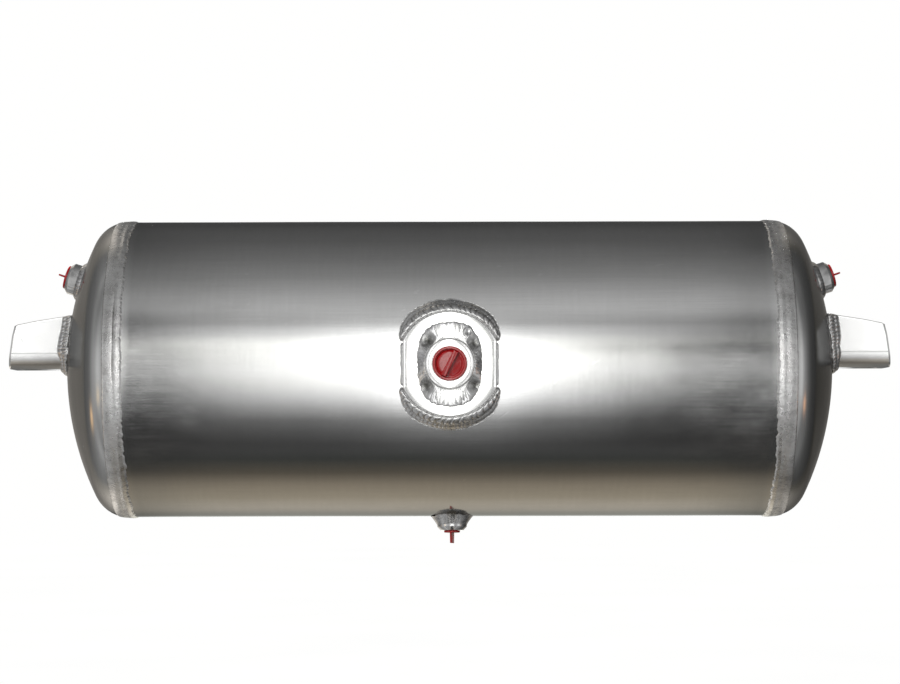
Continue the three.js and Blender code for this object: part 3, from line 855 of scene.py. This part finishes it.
def make_pad_side(side, sign, seed):
    """The thin sealing bead along one of the pad's flats."""
    steps, half_long, width, leg = 90, 17.2, 2.0, 0.55
    y = np.linspace(-half_long, half_long, steps)
    wall = sign * PAD_HALF_WIDTH + 0 * y
    lift = on_shell(wall, y)
    inner = np.stack([wall, y, lift + leg], -1)
    outer = np.stack([wall + sign * width, y, lift - 0.1], -1)
    root = np.stack([wall - sign * 0.2, y, lift - 0.2], -1)
    normal = np.tile(np.array([sign * 0.3, 0, 0.95]), (steps, 1))
    passes = [(0, 1, (0.22, 0.22), 0.3, 2.4, (0.1, 0.05, 0.1))]
    points, marks = bead_points(inner, outer, root, normal, passes, False, seed, 0.3, 12, 2.5)
    # Little painted shade at its toes.
    marks["toe"] = marks["toe"] * 0.2
    marks["calm"] = marks["toe"] * 0 + 1
    make_bead(f"pad_bead_{side}", f"pad_weld_{side}", points, marks, FRONT)


# ---- Ports and plugs ----


def make_boss(side, place, radius, bore, seat, reach, tail, chamfer, pitch):
    """A turned boss with a real helical thread down its bore.

    It reaches out from its seat and its tail goes down into the vessel.
    """
    low, high = seat - tail, seat + reach
    edge, runout = 0.35, 0.8
    outside = [(radius - edge, low), (radius, low + edge), (radius, high - chamfer - edge)]
    outside += [(radius - 0.12, high - chamfer - 0.05), (radius - chamfer + 0.05, high - 0.12)]
    outside += [(radius - chamfer - edge, high)]
    depth = 0.64 * pitch
    mouth = bore + depth + 0.5
    inside = [(mouth + 0.4, high), (mouth, high - 0.15)]
    start, stop = high - runout, low + runout
    rows = int((high - low - 2 * runout) / pitch * 8)
    inside += [(bore, start + (stop - start) * k / rows) for k in range(rows + 1)]
    inside += [(bore, low + 0.3), (bore + 0.3, low)]

    def thread(r, h, angle):
        turn = h / pitch - angle / TAU
        saw = np.abs((turn - np.floor(turn)) * 2 - 1)
        cut = np.clip(saw * 1.3 - 0.15, 0, 1) * depth
        in_bore = (np.abs(r - bore) < 1e-6) & (h < start + 1e-6) & (h > stop - 1e-6)
        fade = smoothstep(stop, stop + 2 * pitch, h)
        return np.where(in_bore, r + cut * fade, r)

    points = turned(outside + inside, 128, thread)
    boss = loose_object(f"{side}_port_boss", grid_mesh(points), place)
    piece(boss, MACHINED, [f"{side}_boss"], sharp_degrees=28)


def rounded_bar(width, thick, low, high, turn, place, taper, edge):
    """A bar across local x with rounded edges, turned about z."""
    body = bmesh.new()
    bmesh.ops.create_cube(body, size=1)
    for v in body.verts:
        wide = width * (taper if v.co.z > 0 else 1.0)
        v.co = Vector((v.co.x * wide, v.co.y * thick, low + (v.co.z + 0.5) * (high - low))) * MM
    mesh = bpy.data.meshes.new("bar")
    body.to_mesh(mesh)
    body.free()
    bar = loose_object("bar", mesh, place @ Matrix.Rotation(turn, 4, "Z"))
    soft = bar.modifiers.new("soft", "BEVEL")
    soft.width, soft.segments, soft.limit_method = edge * MM, 4, "NONE"
    bake_modifiers(bar)
    return bar


def make_plug(side, place, seat, bore, flange, base, shank, grip, rim=0.0):
    """A moulded cap: ribbed shank, rounded flange, an optional raised rim, and a fin across it.

    flange is its radius, base its thickness, and grip the fin's width, thickness, height, turn and
    how much narrower it is at its top.
    """
    under = seat + 0.05
    top = under + base + 0.3
    reach = bore - 0.35
    profile = [(0, under - shank), (reach * 0.8, under - shank)]
    ribs = 5
    pitch = (shank - 2) / ribs
    for k in range(ribs):
        low = under - shank + 0.8 + k * pitch
        grow = 0.9 + 0.1 * (k + 1) / ribs
        profile += [(reach * grow - 0.7, low), (reach * grow, low + pitch * 0.42)]
        profile += [(reach * grow, low + pitch * 0.58), (reach * grow - 0.7, low + pitch * 0.95)]
    profile += [(reach - 0.5, under), (flange - 0.5, under)]
    profile += arc((flange - 0.5, under + 0.5), 0.5, -math.pi / 2, 0)
    if rim:
        lip = top + 1.4
        profile += arc((flange - 0.7, lip - 0.7), 0.7, 0, math.pi / 2)
        profile += arc((flange - rim + 0.5, lip - 0.5), 0.5, math.pi / 2, math.pi)
        groove = flange - rim
        profile += [(groove, top - 0.3), (groove - 0.35, top - 0.6), (groove - 0.9, top - 0.55)]
        profile += [(groove - 1.4, top - 0.05), (groove - 2.0, top + 0.2), (groove - 2.6, top + 0.28)]
        profile += [(groove * 0.7, top + 0.29), (groove * 0.35, top + 0.29), (0, top + 0.29)]
    else:
        profile += arc((flange - 0.8, top - 1.0), 0.8, 0, math.pi / 2 - 0.15)
        profile += [(flange * 0.7, top + 0.02), (flange * 0.4, top + 0.2), (0, top + 0.28)]
    width, thick, height, turn, taper = grip
    points = turned(profile, 96)
    if rim:
        # The floor falls away on one side of the grip.
        x, y, z = np.moveaxis(points, -1, 0)
        beyond = np.clip(x * math.sin(turn) - y * math.cos(turn) - 1, 0, 5)
        floor = (np.hypot(x, y) < groove - 1.2) & (z > top - 0.3)
        z -= np.where(floor, 0.16 * beyond, 0)
    name = f"{side}_plug"
    plug = loose_object(f"{side}_port_plug", cleaned(grid_mesh(points), 38), place)
    edge = min(0.5, thick * 0.4)
    fin = rounded_bar(width, thick, under + 0.8, under + 1 + height, turn, place, taper, edge)
    combine(plug, [fin], "UNION")
    piece(plug, PLASTIC, [name], body=name, sharp_degrees=42)


# A port's bore, the thread's pitch, and how far its boss stands out.
FRONT_PORT = (9.3, 1.814, 10)
DRAIN_PORT = (5.8, 1.337, 11.6)
END_PORT = (7.5, 1.337, 13.5)
# Where the front weld dips: degrees round the boss, distance from its axis, and size.
FRONT_DIPS = [(40, 24.6, 3.9), (132, 25.2, 4.2), (224, 25.2, 4.4), (320, 25.4, 4.3)]
# Where its end was left in a small whirl.
WHIRL = (14.6, 25.0)


def front_toe(angle):
    half_wide, half_tall, squareness = 25.6, 33.2, 2.7
    wide, tall = np.abs(np.cos(angle)) / half_wide, np.abs(np.sin(angle)) / half_tall
    return (wide**squareness + tall**squareness) ** (-1 / squareness)


def front_crest(angle):
    return 5.3 - 4.0 * np.abs(np.sin(angle)) ** 1.6


def make_front_weld():
    """The fillet in the pad's face: broad, calm and bright above and below, with four dips coloured darker.
    """
    humps = (0.5, 0.8, 1.3, 0.8, 0.5, 0.8, 1.3, 0.8, 0.5)
    ripples = (0.26, 0.1, 0.0, 0.03, 0.2, 0.1, 0.0, 0.08, 0.26)
    passes = [(0.0, 1.0, humps, 0.2, 3.3, ripples), (0.42, 1.0, humps, 0.3, 2.6, ripples)]
    points, marks = ring_bead(19.65, front_toe, on_pad, front_crest, passes, 41, 720, 0.5, 34)
    x, y, z = np.moveaxis(points, -1, 0)
    dip = 0 * x
    for degrees, reach, size in FRONT_DIPS:
        turn = math.radians(degrees)
        away = np.hypot(x - reach * math.cos(turn), y - reach * math.sin(turn))
        dip += np.exp(-((away / size) ** 2))
    whirl = np.hypot(x - WHIRL[0], y - WHIRL[1])
    rise = 0.55 * np.exp(-(((whirl - 3.2) / 0.75) ** 2)) - 0.5 * np.exp(-((whirl / 1.5) ** 2))
    z[:] = np.maximum(z - 1.7 * dip + rise, np.minimum(z, PAD_FACE + 0.25))
    marks["dip"] = np.clip(dip, 0, 1)
    marks["calm"] = smoothstep(0.62, 0.86, np.abs(y) / np.hypot(x, y))
    # Above and below, the troughs get little of the painted shade.
    marks["valley_shade"] = marks["valley_shade"] * (1 - 0.9 * marks["calm"])
    make_bead("front_boss_bead", "front_boss_weld", points, marks, FRONT, closed=True)


def make_front_port():
    bore, pitch, reach = FRONT_PORT
    make_boss("front", FRONT, 19.7, bore, PAD_FACE, reach, tail=11, chamfer=0.5, pitch=pitch)
    make_front_weld()
    grip = (21.8, 4.2, 4.6, math.radians(62), 1.0)
    make_plug("front", FRONT, PAD_FACE + reach, bore, flange=13.6, base=2.0, shank=13, grip=grip, rim=2.3)


def make_small_port(side, place, port, seat, surface, radius, chamfer, weld, flange, shank, grip):
    """A port with an even weld, (toe, crest, ragged, seed, passes), and a plug with a fin."""
    bore, pitch, reach = port
    make_boss(side, place, radius, bore, seat, reach, tail=7, chamfer=chamfer, pitch=pitch)
    toe, crest, ragged, seed, passes = weld
    points, marks = ring_bead(
        radius - 0.05, lambda angle: toe + 0 * angle, surface, lambda angle: crest + 0 * angle,
        passes, seed, 420, ragged)
    make_bead(f"{side}_boss_bead", f"{side}_boss_weld", points, marks, place, closed=True)
    make_plug(side, place, seat + reach, bore, flange, base=1.8, shank=shank, grip=grip)


def make_drain_port():
    passes = [(0.0, 1.0, (-0.5, -0.3, -0.5), 0.6, 6.5, (0.16, 0.24, 0.16))]
    make_small_port("drain", DRAIN, DRAIN_PORT, VESSEL_RADIUS, on_shell, radius=12.3, chamfer=2.8,
                    weld=(17.6, 7.4, 0.5, 51, passes), flange=6.6, shank=10,
                    grip=(13, 1.5, 9.6, math.radians(101), 0.86))


def make_end_port(side, place, seed):
    passes = [(0.0, 1.0, (0.8, 0.8), 0.5, 3.2, (0.26, 0.2, 0.3, 0.26))]
    make_small_port(side, place, END_PORT, CROWN_RADIUS, on_crown, radius=13, chamfer=2.6,
                    weld=(17.3, 5.2, 0.55, seed, passes), flange=9.75, shank=11,
                    grip=(15, 1.4, 6.6, 0.0, 0.86))


# ---- Brackets ----


def channel_section(inset, top, steps=14):
    """(y, z) points of the folded channel, from the front flange's top edge round to the rear's."""
    half, centre = BRACKET_HALF - inset, BRACKET_HALF - BEND_RADIUS
    rear = [(0, inset), (centre * 0.5, inset)]
    rear += arc((centre, BEND_RADIUS), BEND_RADIUS - inset, 1.5 * math.pi, TAU, steps)
    rear += [(half, top * k + BEND_RADIUS * (1 - k)) for k in (0.08, 0.3, 0.6, 0.94, 1.0)]
    front = [(-y, z) for y, z in reversed(rear[1:])]
    return np.array(front + rear)


def flange_top(x):
    """How high a flange is: it falls towards the bracket's end."""
    slope = (FLANGE_ROOT_HEIGHT - FLANGE_END_HEIGHT) / (BRACKET_END - HALF_LENGTH)
    corner = BRACKET_END - FLANGE_END_HEIGHT * math.tan(END_SLANT)
    return FLANGE_END_HEIGHT + (corner - x) * slope


def make_bracket(side, place):
    """Both skins of the folded plate as one closed grid; its slot is cut afterwards."""
    rows = np.linspace(0, 1, 26)
    rounding, root, clearance = 4.0, 314, 0.15
    corner = FLANGE_END_HEIGHT - rounding
    outlines = []
    for inset in (0.0, BRACKET_PLATE):
        section = channel_section(inset, FLANGE_END_HEIGHT)
        points = np.zeros((len(rows), len(section), 3))
        for c, (y, z) in enumerate(section):
            for r, share in enumerate(rows):
                height = z
                if z > BEND_RADIUS and abs(abs(y) - (BRACKET_HALF - inset)) < 1e-6:
                    climb = (z - BEND_RADIUS) / (FLANGE_END_HEIGHT - BEND_RADIUS)
                    top = flange_top(root + share * (BRACKET_END - 5 - root))
                    height = BEND_RADIUS + climb * (top - BEND_RADIUS)
                start = CROWN_CENTRE + math.sqrt((CROWN_RADIUS + clearance) ** 2 - y**2 - height**2)
                end = BRACKET_END - max(height, 0) * math.tan(END_SLANT)
                if height > corner and share > 0.5:
                    over = min((height - corner) / rounding, 1)
                    end -= rounding * (1 - math.sqrt(max(0, 1 - over**2))) * smoothstep(0.5, 1, share)
                points[r, c] = (start + share * (end - start), y, height)
        outlines.append(points)
    outer, inner = outlines
    ring = np.concatenate([outer, inner[:, ::-1]], 1)
    mesh = grid_mesh(ring, wrap_rows=False)
    count = ring.shape[1]
    last = (len(rows) - 1) * count
    caps = []
    for first in (0, last):
        for c in range(outer.shape[1] - 1):
            caps.append((first + c, first + c + 1, first + count - 2 - c, first + count - 1 - c))
    body = bmesh.new()
    body.from_mesh(mesh)
    body.verts.ensure_lookup_table()
    for cap in caps:
        body.faces.new([body.verts[i] for i in cap])
    bmesh.ops.recalc_face_normals(body, faces=body.faces)
    body.edges.ensure_lookup_table()
    # Only the cut edges are softened, not the folds.
    weight = body.edges.layers.float.new("bevel_weight_edge")
    for edge in body.edges:
        if len(edge.link_faces) == 2 and edge.calc_face_angle() > math.radians(55):
            i, j = sorted(v.index for v in edge.verts)
            if j >= count or i >= last:
                edge[weight] = 1.0
    body.to_mesh(mesh)
    body.free()
    bracket = loose_object(f"{side}_folded_bracket", mesh, place)
    soft = bracket.modifiers.new("soft", "BEVEL")
    soft.width, soft.segments, soft.limit_method = 0.7 * MM, 3, "WEIGHT"
    bake_modifiers(bracket)
    combine(bracket, [slot_tool(place)], "DIFFERENCE")
    piece(bracket, FOLDED, [f"{side}_bracket"], sharp_degrees=32)


def slot_tool(place):
    """The bolt slot with a small chamfer at both mouths."""
    centre, straight, radius = 346.0, 4.5, 6.5
    angle = np.arange(64) * TAU / 64
    shift = np.where(np.cos(angle) >= 0, straight, -straight)
    rows = []
    for grow, z in ((2.4, -2.0), (0.4, 0.0), (0.0, 0.4), (0.0, 5.6), (0.4, 6.0), (2.4, 8.0)):
        reach = radius + grow
        x, y = centre + shift + reach * np.cos(angle), reach * np.sin(angle)
        rows.append(np.stack([x, y, z + 0 * x], -1))
    low, high = (np.tile(row.mean(0), (len(angle), 1)) for row in (rows[0], rows[-1]))
    points = np.stack([low, *rows, high])
    return loose_object("tool", cleaned(grid_mesh(points, wrap_rows=False), 30), place)


def make_bracket_weld(side, place, seed):
    """The bead up one flange, round the bends, under the web and up the other flange."""
    section = channel_section(0.0, FLANGE_ROOT_HEIGHT - 0.4, 30)
    lengths = arc_length(np.c_[section, 0 * section[:, 0]], False)
    steps = 560
    s = np.linspace(0, lengths[-1], steps)
    y, z = np.interp(s, lengths, section[:, 0]), np.interp(s, lengths, section[:, 1])
    out = np.stack([np.gradient(z, s), -np.gradient(y, s)], -1)
    out /= np.linalg.norm(out, axis=1, keepdims=True)
    away = np.stack([y, z - 20], -1)
    out *= np.sign(np.sum(out * away, axis=1, keepdims=True))
    swell = 1 + 0.12 * noise(s / 9, seed + 9)
    under = smoothstep(15, 2, z)
    leg_x = (7.8 - 2.8 * under) * swell
    leg_out = (7.4 - 2.2 * under) * swell

    def dome(a, b):
        return CROWN_CENTRE + np.sqrt(CROWN_RADIUS**2 - a**2 - b**2)

    yo, zo = y + out[:, 0] * leg_out, z + out[:, 1] * leg_out
    yr, zr = y - out[:, 0] * 0.3, z - out[:, 1] * 0.3
    root = np.stack([dome(yr, zr) - 0.1, yr, zr], -1)
    inner = np.stack([dome(y, z) + leg_x, y - out[:, 0] * 0.12, z - out[:, 1] * 0.12], -1)
    outer = np.stack([dome(yo, zo) - 0.12, yo, zo], -1)
    normal = bead_normals(inner, outer, root, np.gradient(outer, axis=0))
    passes = [(0.0, 0.62, (1.5, 1.3, 1.5), 0.4, 2.6, (0.7, 0.5, 0.6, 0.5, 0.7)),
              (0.4, 1.0, (1.8, 1.5, 1.8), 0.4, 3.4, (0.7, 0.4, 0.5, 0.4, 0.7))]
    points, marks = bead_points(inner, outer, root, normal, passes, False, seed, 0.5, 28, 3.0)
    # Less painted shade at its toes.
    marks["toe"] = marks["toe"] * 0.4
    make_bead(f"{side}_bracket_bead", f"{side}_bracket_weld", points, marks, place)


# ---- The receiver ----

make_shell()
make_long_seam()
make_pad()
make_pad_arc("upper", 1, 61, (0.25, 0.08, 0.05, 0.1, 0.7), (0.5, 0.5, 0.35, 0.6, 0.8))
make_pad_arc("lower", -1, 71, (0.5, 0.2, 0.25, 0.2, 0.3), (0.6, 0.9, 0.9, 0.7, 0.8))
make_pad_side("left", -1, 81)
make_pad_side("right", 1, 85)
make_front_port()
make_drain_port()
ENDS = [("left", HALF_TURN, LEFT, 100, 1), ("right", HERE, RIGHT, 200, 0)]
for side, place, port, seed, root_shows in ENDS:
    make_head(side, place, port)
    make_backing_ring(side, place)
    make_seam(side, place, seed, root_shows)
    make_bracket(side, place)
    make_bracket_weld(side, place, seed + 40)
    make_end_port(side, port, seed + 60)

# ---- Light ----

# From the tables' values, which are the photograph's own brightness, to light before the metal takes
# its share.
GAIN = 1.36

# The studio as the metal sees it, by angle over the vessel: 0 is the camera's side, 90 is overhead.
CENTRE = [
    (-180, 1.4), (-175, 1.1), (-168, (0.75, 0.76, 0.69)), (-142, (0.56, 0.51, 0.43)),
    (-120, (0.3, 0.262, 0.2)), (-103, (0.198, 0.168, 0.127)), (-89, (0.068, 0.058, 0.043)),
    (-75, (0.024, 0.026, 0.024)), (-62, 0.066), (-51, 0.168), (-41, 0.335), (-31, 0.93), (-22, 1.65),
    (-12, (2.4, 2.4, 2.35)), (-3, (2.8, 2.8, 2.75)), (7, (3.2, 3.2, 3.1)), (16, (3.0, 3.0, 2.9)),
    (25, 1.4), (33, 0.6), (39, 0.47), (44, 0.43), (52, 0.35), (63, 0.258), (74, 0.178), (93, 0.112),
    (116, 0.068), (152, 0.06), (170, 0.1), (175, 1.0), (180, 1.4),
]
SIDES = [
    (-180, 0.8), (-175, 0.6), (-168, (0.18, 0.18, 0.16)), (-150, (0.21, 0.2, 0.17)),
    (-133, (0.175, 0.162, 0.135)), (-114, (0.163, 0.148, 0.122)), (-98, (0.09, 0.081, 0.066)),
    (-85, 0.016), (-73, 0.008), (-62, 0.01), (-51, 0.012), (-41, 0.014), (-31, 0.022), (-22, 0.06),
    (-12, 0.12), (-3, 0.25), (7, 0.18), (16, 0.08), (25, 0.035), (35, 0.025), (46, 0.18),
    (56, 0.185), (67, 0.128), (78, 0.096), (91, 0.066), (105, 0.034), (122, 0.028), (147, 0.03),
    (170, 0.07), (175, 0.6), (180, 0.8),
]
# How far the centre's light shows towards the sides, by -X to +X: the lamp's spread, and the sky's.
LAMP_SPREAD = [
    (-0.114, 0.0), (-0.102, 0.04), (-0.089, 0.21), (-0.073, 0.3), (-0.056, 0.31), (-0.041, 0.35),
    (-0.026, 0.5), (-0.01, 1.0), (0.01, 1.0), (0.026, 0.56), (0.041, 0.34), (0.056, 0.25),
    (0.071, 0.16), (0.086, 0.06), (0.101, 0.02), (0.113, 0.0),
]
SKY_SPREAD = [(-0.123, 0.0), (-0.11, 0.5), (-0.095, 0.85), (-0.075, 1.0), (0.075, 1.0), (0.095, 0.85),
              (0.11, 0.5), (0.123, 0.0)]
# By angle over the vessel again: the sky's share of the two, and how far the lamp slides in X.
SKY_SHARE = [(-180, 1.0), (-78, 1.0), (-60, 0.0), (14, 0.0), (25, 0.2), (34, 0.45), (44, 0.8), (52, 1.0),
             (180, 1.0)]
LAMP_SLANT = [(-180, 0.0), (5, 0.0), (16, 0.01), (25, 0.01), (34, 0.018), (50, 0.015), (60, 0.0)]
# Past the shell's ends: what the brackets' faces mirror.
WINGS = [
    (-180, 0.1), (-133, 0.09), (-112, 0.1), (-92, (0.13, 0.115, 0.1)), (-74, (0.3, 0.275, 0.24)),
    (-60, (0.45, 0.43, 0.4)), (-45, 0.65), (-28, 1.0), (-12, 1.2), (-6.2, 1.1), (-4.6, 0.25), (-2.8, 0.25),
    (-1.2, 1.25), (0, 1.35), (15, 1.35), (28, 0.6), (45, 0.25), (90, 0.12), (180, 0.1),
]
# Round the ends, by compass angle from the camera's side, for the right and for the left.
AROUND = [
    [(0, 0.5), (14, 0.42), (25, 0.24), (35, 0.26), (47, 0.48), (56, 0.56), (65, 0.27), (78, 0.12),
     (92, 0.05), (104, 0.032), (126, 0.022), (136, (0.04, 0.037, 0.03)), (148, (0.14, 0.13, 0.117)),
     (165, (0.24, 0.228, 0.21)), (180, 0.3)],
    [(0, 0.45), (14, 0.4), (25, 0.29), (35, 0.3), (47, 0.45), (56, 0.52), (68, 0.33), (80, 0.26),
     (92, 0.12), (104, 0.1), (123, 0.083), (136, (0.18, 0.168, 0.148)), (148, (0.34, 0.315, 0.285)),
     (165, (0.45, 0.425, 0.39)), (180, 0.5)],
]
# How that fades with height, for the front of the heads and for their sides and back.
CLIMB = [
    [(-90, 0.4), (-60, 0.45), (-45, 0.5), (-30, 0.6), (-16, 0.95), (0, 1.0), (10, 0.95), (20, 0.68),
     (33, 0.45), (50, 0.4), (90, 0.3)],
    [(-90, 1.4), (-60, 1.9), (-47, 2.0), (-34, 1.6), (-20, 1.25), (-8, 1.0), (22, 0.95), (34, 1.0),
     (47, 1.4), (60, 1.5), (90, 1.0)],
]
# Small warm lamps: direction, colour and how narrow each is.
LAMPS = [
    ((-0.938, 0.049, -0.342), (1.5, 0.98, 0.52), 300.0),
    ((-0.802, -0.521, -0.292), (1.5, 1.15, 0.75), 420.0),
    ((0.894, -0.29, -0.342), (1.5, 0.8, 0.45), 420.0),
]


# The X that the two spreads cover, where the wings take over, and where what is round the ends does.
SPREAD_REACH = 0.15
WINGS_FROM = (0.145, 0.15)
AROUND_FROM = (0.2, 0.24)
# The share of the studio's light that scattering surfaces don't get.
DIFFUSE_LOSS = 0.6
PAPER = (1.0, 1.0, 0.995)


def make_world():
    """The studio, as light by direction, since nearly all that the metal shows is what it mirrors."""
    world = bpy.data.worlds.new("studio")
    bpy.context.scene.world = world
    world.use_nodes = True
    n = Nodes(world.node_tree)
    where = n.add("TexCoord").outputs["Generated"]
    x, y, z = n.add("SeparateXYZ", {0: where}).outputs
    ahead, out = n.times(y, -1.0), n.maths("ABSOLUTE", x)

    def by_x(value, table):
        return n.ramp(n.band(value, -SPREAD_REACH, SPREAD_REACH), table, -SPREAD_REACH, SPREAD_REACH)

    over = n.total(n.maths("DIVIDE", n.maths("ARCTAN2", z, ahead), TAU), 0.5)
    centre, sides, wings = (n.ramp(over, table, -180, 180, GAIN) for table in (CENTRE, SIDES, WINGS))
    lamp = by_x(n.total(x, n.ramp(over, LAMP_SLANT, -180, 180)), LAMP_SPREAD)
    middle = n.mix(n.ramp(over, SKY_SHARE, -180, 180), lamp, by_x(x, SKY_SPREAD))
    colour = n.mix(middle, sides, centre)
    colour = n.mix(n.band(out, *WINGS_FROM), colour, wings)

    compass = n.maths("DIVIDE", n.maths("ARCTAN2", out, ahead), math.pi)
    right, left = (n.ramp(compass, table, 0, 180, GAIN) for table in AROUND)
    climb = n.total(n.maths("DIVIDE", n.maths("ARCSINE", z), math.pi), 0.5)
    near, far = (n.ramp(climb, table, -90, 90) for table in CLIMB)
    around = n.mix(n.band(x, -0.02, 0.02), left, right)
    around = n.mix(1.0, around, n.mix(n.band(compass, 0.38, 0.5), near, far), "MULTIPLY")
    colour = n.mix(n.band(out, *AROUND_FROM), colour, around)

    for direction, tint, sharpness in LAMPS:
        aim = tuple(Vector(direction).normalized())
        facing = n.add("VectorMath", {0: where, 1: aim}, operation="DOT_PRODUCT").outputs["Value"]
        glow = n.maths("POWER", n.maths("MAXIMUM", facing, 0.0), sharpness)
        colour = n.mix(glow, colour, tint)
    rays = n.add("LightPath").outputs
    colour = n.mix(n.times(rays["Is Diffuse Ray"], DIFFUSE_LOSS), colour, (0, 0, 0))
    colour = n.mix(rays["Is Camera Ray"], colour, PAPER)
    n.surface(n.add("Background", {"Color": colour, "Strength": 1.0}), "World")


def make_sun(name, toward, energy, angle):
    """A soft sun that lights plastic and oxide film and isn't mirrored in the metal."""
    lamp = bpy.data.lights.new(name, "SUN")
    lamp.energy = energy
    lamp.angle = angle
    sun = bpy.data.objects.new(name, lamp)
    bpy.context.scene.collection.objects.link(sun)
    sun.matrix_world = Vector(toward).to_track_quat("-Z", "Y").to_matrix().to_4x4()
    sun.visible_glossy = False


def make_floor():
    """A pale floor well below the hanging vessel."""
    radius, height = 14, -0.62
    body = bmesh.new()
    bmesh.ops.create_circle(body, cap_ends=True, radius=radius, segments=96)
    mesh = bpy.data.meshes.new("floor")
    body.to_mesh(mesh)
    body.free()
    mesh.materials.append(FLOOR)
    floor = loose_object("floor", mesh, Matrix.Translation((0, 0, height)))
    floor.visible_glossy = False
    floor.visible_diffuse = False
    floor.visible_shadow = False


def make_camera():
    """A long lens a little below the vessel's middle, as the photograph's perspective shows."""
    distance, elevation, roll = 2.23, math.radians(-1.8), math.radians(-0.14)
    camera = bpy.data.objects.new("camera", bpy.data.cameras.new("camera"))
    bpy.context.scene.collection.objects.link(camera)
    place = Vector((0, -distance * math.cos(elevation), distance * math.sin(elevation)))
    aim = (Vector((0.0003, 0, 0.0225)) - place).to_track_quat("-Z", "Y").to_matrix().to_4x4()
    camera.matrix_world = Matrix.Translation(place) @ aim @ Matrix.Rotation(roll, 4, "Z")
    camera.data.sensor_width = 36
    camera.data.lens = 106.8
    camera.data.clip_start, camera.data.clip_end = 0.05, 60
    bpy.context.scene.camera = camera


make_world()
make_sun("key", (0.35, 0.85, -0.4), energy=2.0, angle=0.7)
make_sun("rear_right", (-0.5, -0.8, -0.55), energy=10.0, angle=0.9)
make_sun("rear_left", (0.5, -0.8, -0.35), energy=10.0, angle=0.9)
make_floor()
make_camera()
bpy.context.scene.view_settings.view_transform = "Standard"
